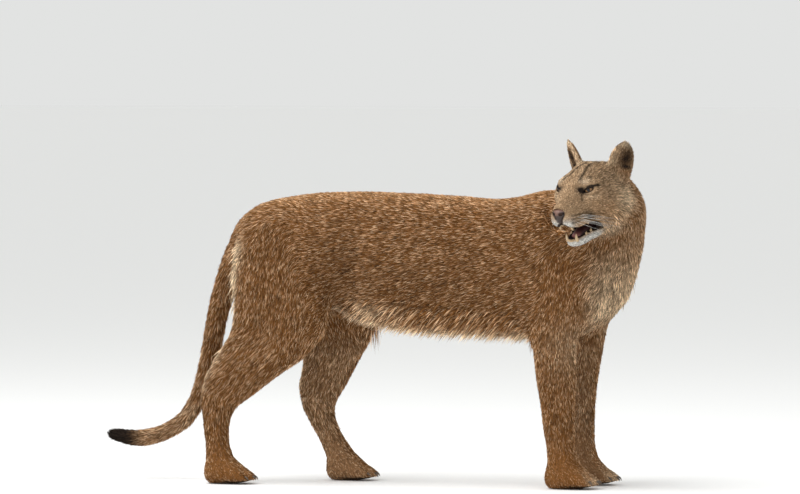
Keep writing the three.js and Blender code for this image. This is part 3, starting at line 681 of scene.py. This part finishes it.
def coat_material(name, shade_source):
    """A fur finish; shade_source makes the light and dark of single hairs in its node tree."""
    made, tree, shader = finish(name, 0.85, 0.12)
    group = tree.nodes.new("ShaderNodeGroup")
    group.node_tree = coat_colour
    for key, value in COAT_COLOURS.items():
        group.inputs[key].default_value = value
    for key in MARKS:
        tree.links.new(attribute_of(tree, key), group.inputs[key])
    tree.links.new(shade_source(tree), group.inputs["shade"])
    return made, tree, shader, group.outputs["Color"]


def under_coat_shade(tree):
    down = texture_of(tree, "ShaderNodeTexNoise", 260, 3)
    return calculation(tree, "MULTIPLY_ADD", down, 0.9, 0.25)


def hair_shade(tree):
    # darker towards the root: partly the hair's own colour, partly painted shade deep in the coat
    root = calculation(tree, "MULTIPLY_ADD", attribute_of(tree, "tip"), 0.95, 0.42)
    return calculation(tree, "MULTIPLY", root, attribute_of(tree, "tone"))


skin_finish, tree, shader, colour = coat_material("under coat", under_coat_shade)
lined = colour_mix(tree, colour, SHADED_MOUTH_LINING, attribute_of(tree, "mouth"))
tree.links.new(lined, shader.inputs["Base Color"])
roughen(tree, shader, texture_of(tree, "ShaderNodeTexNoise", 340), 0.5, 0.002)
skin.data.materials.append(skin_finish)
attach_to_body(skin, "root")
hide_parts(*FLESH)

hair_finish, tree, shader, colour = coat_material("fur", hair_shade)
tree.links.new(colour, shader.inputs["Base Color"])


# The coat is thousands of small pointed tufts, each rooted in the skin and lying the way the hair
# runs: back from the nose, along the trunk, and down the legs and tail.
COATS = {
    # name: (regions, spacing, length, width, lift in degrees), in metres
    "coat_right": (["trunk"], 0.0028, 0.0120, 0.0020, 17),
    "coat_left": (["trunk"], 0.0028, 0.0120, 0.0020, 17),
    "coat_neck": (["neck"], 0.0028, 0.0130, 0.0020, 17),
    "coat_head": (["head", "ear_right", "ear_left"], 0.0019, 0.0074, 0.0014, 15),
    "coat_forelegs": (["foreleg_right", "foreleg_left"], 0.0028, 0.0105, 0.0019, 15),
    "coat_hindleg_right": (["hindleg_right"], 0.0028, 0.0125, 0.0020, 16),
    "coat_hindleg_left": (["hindleg_left"], 0.0028, 0.0125, 0.0020, 16),
    "coat_tail": (["tail"], 0.0028, 0.0165, 0.0021, 16),
}
random = np.random.default_rng(7)


def unit(v):
    return v / np.maximum(np.linalg.norm(v, axis=1), 1e-9)[:, None]


def scatter(mesh, spacing):
    """Evenly spread points on a mesh with its normals there."""
    mesh.calc_loop_triangles()
    corners = np.zeros(len(mesh.loop_triangles) * 3, int)
    mesh.loop_triangles.foreach_get("vertices", corners)
    corners = corners.reshape(-1, 3)
    co, n = places(mesh), normals(mesh)
    a, b, c = (co[corners[:, k]] for k in range(3))
    area = np.linalg.norm(np.cross(b - a, c - a), axis=1) / 2
    count = int(area.sum() / spacing**2 * 2.2)
    picked = random.choice(len(area), count, p=area / area.sum())
    u, v = random.random(count), random.random(count)
    flip = u + v > 1
    u[flip], v[flip] = 1 - u[flip], 1 - v[flip]
    share = np.stack([1 - u - v, u, v], axis=1)
    point = sum(co[corners[picked, k]] * share[:, k : k + 1] for k in range(3))
    facing = unit(sum(n[corners[picked, k]] * share[:, k : k + 1] for k in range(3)))
    cell = np.floor(point / (spacing * 0.94)).astype(np.int64)
    key = (cell[:, 0] * 73856093) ^ (cell[:, 1] * 19349663) ^ (cell[:, 2] * 83492791)
    first = np.sort(np.unique(key, return_index=True)[1])
    return point[first], facing[first]


def lie_of_hair(points, facing):
    """Region of each point, its place on an unwrap round that region's line, and its hair's way."""
    names, found = region_scores(points)
    scores = np.stack([f[0] for f in found], axis=1)
    region = scores.argmin(1)
    nearness = np.exp(-7 * (scores - scores.min(1)[:, None]))
    way = sum(nearness[:, i : i + 1] * found[i][2] for i in range(len(names)))
    down = nearness[:, [names.index("trunk"), names.index("neck"), names.index("head")]].sum(1)
    way[:, 2] -= 0.3 * down
    way -= facing * (way * facing).sum(1)[:, None]
    around, share = np.zeros(len(points)), np.zeros(len(points))
    for i, name in enumerate(names):
        here = region == i
        axis = found[i][2][here]
        level = name in ("trunk", "neck", "head")
        start = unit(np.cross(axis, np.array((0, 0, 1.0) if level else (0, 1.0, 0))))
        quarter = np.cross(axis, start)
        around[here] = np.arctan2((facing[here] * quarter).sum(1), (facing[here] * start).sum(1))
        share[here] = found[i][1][here]
    return np.array(names)[region], around / (2 * math.pi) + 0.5, share, unit(way)


ROOT_DEPTH = 0.0012  # how deep a tuft is set in the skin, in metres
SOLE_GAP = 0.0006
PATCH = 0.003  # the size of a tuft's place on the unwrap
# A tuft's corners: two at its root and one on its ridge there, three halfway, and its point. A
# straight tuft has only the root's and the point.
BENT = [0, 1, 2, 3, 4, 5, 6]
BENT_FACES = [
    (0, 1, 2), (3, 4, 1), (3, 1, 0), (5, 3, 0), (5, 0, 2), (4, 5, 2), (4, 2, 1),
    (6, 4, 3), (6, 3, 5), (6, 5, 4),
]
STRAIGHT = [0, 1, 2, 6]
STRAIGHT_FACES = [(0, 1, 2), (3, 1, 0), (3, 0, 2), (3, 2, 1)]
CORNER_REACH = np.array([0, 0, 0.15, 0.55, 0.55, 0.6, 1])
CORNER_PATCH = np.array([(0, 0), (1, 0), (0.5, 0.3), (0, 0.6), (1, 0.6), (0.5, 0.7), (0.5, 1)]) * PATCH


def grow(name, roots, facing, way, length, width, lift, droop, u, v, tone=1.0):
    """One mesh of tufts: a ridge of two faces above and one below, from a wide root to a point."""
    count = len(roots)
    way = unit(way + random.normal(0, 0.16, (count, 3)))
    way = unit(way - facing * (way * facing).sum(1)[:, None])
    side = np.cross(facing, way)
    angle = np.radians(lift)[:, None]
    out = way * np.cos(angle) + facing * np.sin(angle)
    length, width = length[:, None], width[:, None]
    buried = roots - facing * ROOT_DEPTH
    middle = roots + out * length * 0.5 + droop * length * 0.25
    tip = roots + out * length + droop * length
    tip[:, 2] = np.maximum(tip[:, 2], SOLE_GAP)
    rise = np.cross(out, side)
    rise *= np.sign((rise * facing).sum(1))[:, None]
    corners = np.stack([
        buried + side * width / 2, buried - side * width / 2, roots + rise * width * 0.3,
        middle + side * width * 0.42, middle - side * width * 0.42, middle + rise * width * 0.3,
        tip,
    ], axis=1)
    used, tuft = (BENT, BENT_FACES) if np.any(droop) else (STRAIGHT, STRAIGHT_FACES)
    corners = corners[:, used]
    step = len(used)
    faces = (np.array(tuft)[None] + (np.arange(count) * step)[:, None, None]).reshape(-1, 3)
    mesh = bpy.data.meshes.new(name)
    mesh.vertices.add(count * step)
    mesh.vertices.foreach_set("co", corners.ravel())
    mesh.loops.add(len(faces) * 3)
    mesh.loops.foreach_set("vertex_index", faces.ravel())
    mesh.polygons.add(len(faces))
    mesh.polygons.foreach_set("loop_start", np.arange(len(faces)) * 3)
    mesh.polygons.foreach_set("use_smooth", np.ones(len(faces), bool))
    mesh.update()

    # light and dark hairs are mixed through the coat, in small clumps
    marks = markings(roots, facing)
    del marks["mouth"]
    clump = 1 + 0.12 * soft_noise(roots, 0.030, 3) + 0.18 * soft_noise(roots, 0.009, 4)
    own = np.exp(random.normal(0, 0.55, count)).clip(0.3, 2.8) * clump * tone
    light = 0.30 * (own - 1.1).clip(0, 1.4) + random.normal(0.0, 0.16, count).clip(0, 1)
    marks["pale"] = np.clip(marks["pale"] + light, 0, 1)
    marks["dark"] = np.clip(marks["dark"] + random.normal(0.0, 0.24, count).clip(0, 1), 0, 1)
    marks["tone"] = own.clip(0.3, 1.9)
    marks = {key: np.repeat(value, step) for key, value in marks.items()}
    attach(mesh, {**marks, "tip": np.tile(CORNER_REACH[used], count)})
    spread = (np.stack([u, v], axis=1)[:, None] * 0.995 + CORNER_PATCH[used][None]).reshape(-1, 2)
    layer = mesh.uv_layers.new(name="OFBake")
    layer.uv.foreach_set("vector", spread[faces.ravel()].ravel())
    made = bpy.data.objects.new(name, mesh)
    bpy.context.scene.collection.objects.link(made)
    mesh.materials.append(hair_finish)
    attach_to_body(made, "root")


def bare(points):
    """Where no hair grows: the soles, the mouth, the nose and the eyes."""
    head = to_head(points)
    sole = points[:, 2] < 0.004
    lips = mouth_depth(head) - 0.10 * lip_corner(head) < 1.17
    nose = np.linalg.norm((head - (72, 0, -50)) / (16, 21, 16), axis=1) < 1
    return sole | lips | nose | (eye_gap(head) < 20.5)


def rooted(spacing):
    """Places for tufts over the whole skin, with their regions and the hair's way there."""
    roots, facing = scatter(skin.data, spacing)
    hairy = ~bare(roots)
    roots, facing = roots[hairy], facing[hairy]
    return (roots, facing, *lie_of_hair(roots, facing))


def unwrapped(cell, around, cells):
    """The unwrap's strips stand side by side, one for each region."""
    return (cell + 0.02 + 0.96 * around) / cells


samples = {}
for name, (regions, spacing, length, width, lift) in COATS.items():
    if spacing not in samples:
        samples[spacing] = rooted(spacing)
    roots, facing, region, around, share, way = samples[spacing]
    mine = np.isin(region, regions)
    if name in ("coat_right", "coat_left"):
        left = to_body(roots)[:, 1] > 0
        mine &= left if name == "coat_left" else ~left
    roots, facing, way = roots[mine], facing[mine], way[mine]
    cell = np.array([regions.index(r) for r in region[mine]])
    count = len(roots)
    longer = 1 + 0.12 * soft_noise(roots, 0.05, 5) + random.normal(0, 0.14, count)
    if name == "coat_head":
        longer *= 0.42 + 0.8 * ramp(-to_head(roots)[:, 0], -50, 70)
        longer *= np.where(np.char.startswith(region[mine], "ear"), 0.7, 1.0)
    foot = 1 - ramp(to_body(roots)[:, 2], 40, 170)
    longer *= 1 - 0.5 * foot
    lifted = lift * (1 + 0.25 * soft_noise(roots, 0.02, 6)) + random.normal(0, 4.0, count)
    wide = width * (1 - 0.35 * foot) * random.uniform(0.7, 1.3, count)
    grow(
        name, roots, facing, way, length * longer.clip(0.3, 2), wide, lifted.clip(4, 40),
        np.zeros((1, 3)), unwrapped(cell, around[mine], len(regions)), share[mine],
    )

# Longer hair breaks the outline: at the flank and groin, along the belly, down the back of the
# thighs, and on the throat and cheeks. It hangs and curves down.
FRINGES = ("flank", "belly", "thigh", "throat", "cheek")
FRINGE_LENGTH = np.array([0.038, 0.024, 0.026, 0.018, 0.014])
FRINGE_SAG = np.array([-0.60, -0.45, -0.35, -0.45, -0.35])
roots, facing, region, around, share, way = rooted(0.0046)
body, face = both_sides(to_body(roots)), both_sides(to_head(roots))
off_head = np.linalg.norm(face - (-20, 0, -30), axis=1) >= 125
thigh_line = [(-463, 78, 552), (-488, 84, 388), (-507, 86, 317)]
ribs = (body[:, 2] > 330) * (np.abs(body[:, 0] - 60) < 270)
wanted = {
    "flank": spot(body, (-165, 92, 392), (85, 36, 34)) * off_head,
    "belly": 0.7 * ramp(-facing[:, 2], 0.2, 0.7) * ribs * off_head,
    "thigh": stroke(body, thigh_line, 15) * (body[:, 1] > 35),
    "throat": 0.4 * spot(body, (440, 30, 500), (60, 90, 120)) * ramp(facing[:, 0], 0.1, 0.6) * off_head,
    "cheek": 0.6 * spot(face, (-52, 66, -74), (28, 22, 22)),
}
wanted = np.stack([wanted[name] for name in FRINGES], axis=1)
kept = wanted.max(1) > random.uniform(0.25, 1.0, len(roots))
kind = wanted.argmax(1)[kept]
count = len(kind)
lengths = FRINGE_LENGTH[kind] * random.uniform(0.65, 1.25, count)
sag = np.zeros((count, 3))
sag[:, 2] = FRINGE_SAG[kind]
widths = random.uniform(0.0022, 0.0038, count)
lifts = random.normal(26, 8, count).clip(8, 45)
cell = np.array([list(LINES).index(r) for r in region[kept]])
grow(
    "coat_fringe", roots[kept], facing[kept], way[kept], lengths, widths, lifts, sag,
    unwrapped(cell, around[kept], len(LINES)), share[kept], 1.12,
)


# An eye: a ball with a clear bulge over a brown iris and a round pupil, wet and glossy. It fills
# its socket, and looks forwards and a little outwards.
GAZE = {"right": np.array((0.93, -0.36, 0.02)), "left": np.array((0.93, 0.36, 0.02))}
EYE_SLANT = math.radians(17)


def eye_frame(name):
    """Centre of an eye, and its axes: outwards along the gaze, to the outer corner, and up."""
    hand = -1 if name == "right" else 1
    gaze = GAZE[name] / np.linalg.norm(GAZE[name])
    outer = np.cross((0, 0, 1.0), gaze) * hand
    outer /= np.linalg.norm(outer)
    upper = np.cross(gaze, outer) * hand
    slanted = outer * math.cos(EYE_SLANT) + upper * math.sin(EYE_SLANT)
    return np.array((0, hand * 39.0, 0)), gaze, slanted, np.cross(gaze, slanted) * hand


def mesh_from(name, points, faces, material):
    mesh = bpy.data.meshes.new(name)
    mesh.from_pydata([tuple(point) for point in points], [], [tuple(map(int, face)) for face in faces])
    mesh.update()
    made = bpy.data.objects.new(name, mesh)
    bpy.context.scene.collection.objects.link(made)
    tidy = bmesh.new()
    tidy.from_mesh(mesh)
    bmesh.ops.recalc_face_normals(tidy, faces=tidy.faces)
    tidy.to_mesh(mesh)
    tidy.free()
    for polygon in mesh.polygons:
        polygon.use_smooth = True
    mesh.materials.append(material)
    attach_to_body(made, "root")
    return made


def tube(rings, sides):
    """Faces that join rings of points into a closed form; the last two points are its ends."""
    faces = []
    for start in range(0, (rings - 1) * sides, sides):
        for i in range(sides):
            j = (i + 1) % sides
            faces.append((start + i, start + j, start + sides + j, start + sides + i))
    first, last = rings * sides, rings * sides + 1
    for i in range(sides):
        j = (i + 1) % sides
        faces.append((first, j, i))
        faces.append((last, (rings - 1) * sides + i, (rings - 1) * sides + j))
    return faces


# Colours from the back of the ball to the middle of the pupil, by how far outwards each lies.
EYE_BANDS = (
    (0.76, (0.06, 0.045, 0.035, 1)), (0.79, (0.012, 0.008, 0.006, 1)), (0.83, (0.13, 0.065, 0.028, 1)),
    (0.95, (0.22, 0.12, 0.055, 1)), (0.968, (0.08, 0.04, 0.015, 1)), (0.976, (0.003, 0.003, 0.003, 1)),
)
eye_finish, tree, shader = finish("wet eye", 0.12, 0.35)
zones = tree.nodes.new("ShaderNodeValToRGB")
bands = zones.color_ramp
bands.elements[0].position, bands.elements[0].color = 0.0, (0.05, 0.035, 0.03, 1)
bands.elements[1].position, bands.elements[1].color = 1.0, (0.003, 0.003, 0.003, 1)
for position, shade in EYE_BANDS:
    bands.elements.new(position).color = shade
tree.links.new(attribute_of(tree, "outward"), zones.inputs["Fac"])
streaks = texture_of(tree, "ShaderNodeTexNoise", 900)
flecks = calculation(tree, "MULTIPLY_ADD", streaks, 0.8, 0.6)
tree.links.new(shaded(tree, zones.outputs["Color"], flecks), shader.inputs["Base Color"])

BALL_RADIUS = EYE_RADIUS * 0.99
CORNEA_BULGE = 0.045
rings, sides = 40, 48
for name in ("right", "left"):
    centre, gaze, slanted, upper = eye_frame(name)
    points, outward = [], []
    for ring in range(1, rings + 1):
        lean = math.pi * ring / (rings + 1)
        bulge = 1 + CORNEA_BULGE * max(0.0, (math.cos(lean) - 0.74) / 0.26) ** 0.7
        for i in range(sides):
            turned = 2 * math.pi * i / sides
            round_way = slanted * math.cos(turned) + upper * math.sin(turned)
            way = gaze * math.cos(lean) + round_way * math.sin(lean)
            points.append(centre + way * BALL_RADIUS * bulge)
            outward.append(math.cos(lean))
    points += [centre + gaze * BALL_RADIUS * (1 + CORNEA_BULGE), centre - gaze * BALL_RADIUS]
    outward += [1, -1]
    eye = mesh_from(f"eyeball_{name}", from_head(points), tube(rings, sides), eye_finish)
    attach(eye.data, {"outward": outward})
    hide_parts(f"eye_{name}")


# The lids close over most of each eye: thin haired skin, black at the rim, drawn out to a point at
# both corners. Each pair is one closed ring round the slit.
LID_HALF, LID_TOP, LID_BOTTOM = 13.0, 2.4, 3.9
LID_PROFILE = [
    # how far out from the slit, and distance from the middle of the eyeball
    (0.00, 16.75), (0.05, 17.25), (0.14, 17.45), (0.32, 17.6), (0.6, 17.7), (1.0, 17.8),
    (1.0, 16.6), (0.5, 16.45), (0.15, 16.4), (0.0, 16.45),
]
rows, sides = len(LID_PROFILE), 64
turns = np.linspace(0, 2 * math.pi, sides, endpoint=False)
c, s = np.cos(turns), np.sin(turns)
slit_height = np.where(s > 0, LID_TOP, LID_BOTTOM) * np.sign(s) * np.abs(s) ** 1.35
slit = np.stack([LID_HALF * c, slit_height], axis=1)
outer = np.stack([16.2 * c, 11.5 * s], axis=1)
faces = [
    (row * sides + i, row * sides + (i + 1) % sides,
     (row + 1) % rows * sides + (i + 1) % sides, (row + 1) % rows * sides + i)
    for row in range(rows) for i in range(sides)
]
for name in ("right", "left"):
    centre, gaze, slanted, upper = eye_frame(name)
    points, rim = [], []
    for out, radius in LID_PROFILE:
        flat = slit + (outer - slit) * out
        deep = np.sqrt(np.maximum(radius**2 - (flat**2).sum(1), 1))
        points.append(centre + flat[:, :1] * slanted + flat[:, 1:] * upper + deep[:, None] * gaze)
        rim.append(np.where(s > -0.1, 1 - ramp(out, 0.5, 1.1), 1 - ramp(out, 0.12, 0.4)))
    lids = mesh_from(f"lids_{name}", from_head(np.concatenate(points)), faces, skin_finish)
    marks = markings(places(lids.data), normals(lids.data))
    marks["dark"] = np.maximum(marks["dark"], np.concatenate(rim))
    marks["mouth"] = np.zeros(len(lids.data.vertices))
    attach(lids.data, marks)


# The nose: bare pebbled leather, brown-pink in the middle and black round the nostrils and below,
# with a groove down its middle.
def smooth_copy(node, name, grain, rounds):
    """A finer, softer copy of one CAD node, ready for its finish."""
    made = copy_of([node], name)
    made.data.remesh_voxel_size = grain
    bpy.ops.object.voxel_remesh()
    co = places(made.data)
    put_places(made.data, relax(made.data, co, np.full(len(co), 0.5), rounds))
    bpy.ops.object.shade_smooth()
    return made


nose = smooth_copy("nose", "nose_leather", 0.0008, 7)
face = both_sides(to_head(places(nose.data)))
nostril = np.maximum(spot(face, (82, 10, -48), (9, 6, 5)), spot(face, (77, 18, -47), (12, 7, 6)))
wing = ramp(face[:, 1], 5, 11) * ramp(-face[:, 2], 37, 44)
below = ramp(-face[:, 2], 46, 52)
groove = below * (1 - ramp(face[:, 1], 1.2, 2.6))
black = np.max([1.2 * nostril, 0.9 * wing, 0.85 * below, 0.8 * groove], axis=0)
attach(nose.data, {"black": np.clip(black, 0, 1)})
nose_finish, tree, shader = finish("nose leather", 0.38)
leather = colour_mix(tree, (0.16, 0.075, 0.05, 1), (0.010, 0.007, 0.007, 1), attribute_of(tree, "black"))
tree.links.new(leather, shader.inputs["Base Color"])
roughen(tree, shader, texture_of(tree, "ShaderNodeTexVoronoi", 900), 0.5, 0.0005)
nose.data.materials.append(nose_finish)
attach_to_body(nose, "root")
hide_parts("nose")


# The tongue lies low between the lower teeth: wet, pink and rough, with painted shade that darkens it
# towards the back of the mouth.
tongue = smooth_copy("tongue", "wet_tongue", 0.0012, 10)
# painted shade: the tongue darkens to near black towards the back of the mouth
attach(tongue.data, {"deep": 1 - ramp(to_head(places(tongue.data))[:, 0], 8, 40)})
tongue_finish, tree, shader = finish("wet tongue", 0.35)
flesh = colour_mix(tree, (0.52, 0.20, 0.17, 1), (0.045, 0.015, 0.014, 1), attribute_of(tree, "deep"))
tree.links.new(flesh, shader.inputs["Base Color"])
roughen(tree, shader, texture_of(tree, "ShaderNodeTexVoronoi", 700), 0.6, 0.0006)
tongue.data.materials.append(tongue_finish)
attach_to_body(tongue, "root")
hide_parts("tongue")


# Teeth and claws are curved cones, ivory teeth mottled with tan and dark horny claws.
def cone(name, root, tip, width, curve, material):
    """A curved cone between two places in the head's or body's metres; curve bends its middle."""
    rings, sides = 8, 10
    way = tip - root
    side = np.cross(way, (0.3, 0.5, 0.8))
    side /= np.linalg.norm(side)
    other = np.cross(way, side) / np.linalg.norm(way)
    points = []
    for ring in range(rings):
        t = ring / rings
        middle = root + way * t + curve * math.sin(math.pi * t)
        radius = width * (1 - t**1.6) ** 0.8
        for i in range(sides):
            turned = 2 * math.pi * i / sides
            points.append(middle + radius * (side * math.cos(turned) + other * math.sin(turned)))
    points += [root - way * 0.05, tip]
    return mesh_from(name, points, tube(rings, sides), material)


def joined_piece(pieces, name):
    bpy.ops.object.select_all(action="DESELECT")
    for piece in pieces:
        piece.select_set(True)
    bpy.context.view_layer.objects.active = pieces[0]
    bpy.ops.object.join()
    pieces[0].name = pieces[0].data.name = name
    return pieces[0]


def mottled_finish(name, roughness, first, second, scale):
    """A hard finish of two colours, mixed in soft patches."""
    made, tree, shader = finish(name, roughness)
    patches = texture_of(tree, "ShaderNodeTexNoise", scale)
    tree.links.new(colour_mix(tree, first, second, patches), shader.inputs["Base Color"])
    return made


tooth_finish = mottled_finish("tooth", 0.3, (0.62, 0.50, 0.33, 1), (0.40, 0.22, 0.08, 1), 160)
upper_row, lower_row = [], []
for hand in (-1, 1):
    for x, y, z, length, width in ((52, 17, -68, 22, 4.4), (24, 27, -68, 12, 4.0), (10, 31, -68, 13, 4.4)):
        upper_row.append(((x, hand * y, z), (x - 2, hand * y, z - length), width, (2.0, 0, 0)))
    for x, y, z, length, width in ((50, 13.5, -82, 19, 4.4), (22, 21, -80, 10, 3.6), (8, 25, -80, 11, 4.0)):
        lower_row.append(((x, hand * y, z), (x - 2, hand * (y + 1), z + length), width, (2.0, 0, 0)))
for i in (-2.5, -1.5, -0.5, 0.5, 1.5, 2.5):
    back = 0.5 * i * i
    upper_row.append(((62 - back, i * 4.0, -70), (62 - back, i * 4.0, -78), 2.1, (0, 0, 0)))
    lower_row.append(((58 - back, i * 3.4, -80), (58 - back, i * 3.4, -73.5), 1.8, (0, 0, 0)))
for name, row, angle in (("teeth_upper", upper_row, 0.0), ("teeth_lower", lower_row, -GAPE)):
    teeth = []
    for root, tip, width, curve in row:
        ends = from_head(jaw_turned(np.array([root, tip, np.add(root, curve)], float), angle))
        teeth.append(cone(name, ends[0], ends[1], width / 1000, ends[2] - ends[0], tooth_finish))
    joined_piece(teeth, name)

claw_finish = mottled_finish("claw", 0.35, (0.055, 0.040, 0.030, 1), (0.16, 0.12, 0.085, 1), 300)
HEELS = {
    "forepaw_right": (312, -76, 1.0), "forepaw_left": (326, 76, 1.0),
    "hindpaw_right": (-508, -92, 0.94), "hindpaw_left": (-258, 92, 0.94),
}
for name, (x, y, size) in HEELS.items():
    claws = []
    for place in (-1.5, -0.5, 0.5, 1.5):
        across = y + place * 21 * size
        reach = x + (76 - 7 * place * place) * size
        ends = [(reach + 9 * size, across, 20 * size), (reach + 18.5 * size, across, 9 * size)]
        root, tip = from_body(ends)
        claws.append(cone(name, root, tip, 0.0022, np.array((0.0015, 0, 0.0015)), claw_finish))
    joined_piece(claws, f"claws_{name}")


# Whiskers: stiff white hairs, three rows of three on each lip, swept back over the cheek. Each
# tapers to a fine end.
WHISKER_RADIUS = 0.38
whisker_finish, tree, shader = finish("whisker", 0.4)
pearly = colour_mix(tree, (0.50, 0.45, 0.38, 1), (0.90, 0.88, 0.84, 1), attribute_of(tree, "tip"))
tree.links.new(pearly, shader.inputs["Base Color"])


def whisker(root, way, bend, length):
    sides, rings = 5, 10
    points, tips = [], []
    for ring in range(rings):
        t = ring / rings
        middle = root + length * (way * t + bend * t * t)
        radius = WHISKER_RADIUS * (1 - 0.85 * t)
        for i in range(sides):
            turned = 2 * math.pi * i / sides
            points.append(middle + radius * np.array((math.cos(turned), 0, math.sin(turned))))
            tips.append(0.3 + 0.7 * t)
    points += [root - way, root + length * (way + bend)]
    tips += [0.3, 1]
    hair = mesh_from("whisker", from_head(points), tube(rings, sides), whisker_finish)
    attach(hair.data, {"tip": tips})
    return hair


whiskers = []
for hand in (-1, 1):
    for row in range(3):
        for number in range(3):
            x = 54 - 8 * number + random.uniform(-1, 1)
            root = np.array((x, hand * (34 + 2.5 * number), -56 - 6 * row + 1.5 * number))
            length = random.uniform(45, 75) + 9 * number
            fall = -0.10 - 0.14 * row + random.uniform(-0.15, 0.1)
            way = np.array((-0.55 - 0.15 * number, hand * 0.75, fall))
            way /= np.linalg.norm(way)
            bend = np.array((-0.50, 0, -0.22)) * random.uniform(0.7, 1.2)
            whiskers.append(whisker(root, way, bend, length))
joined_piece(whiskers, "whiskers")
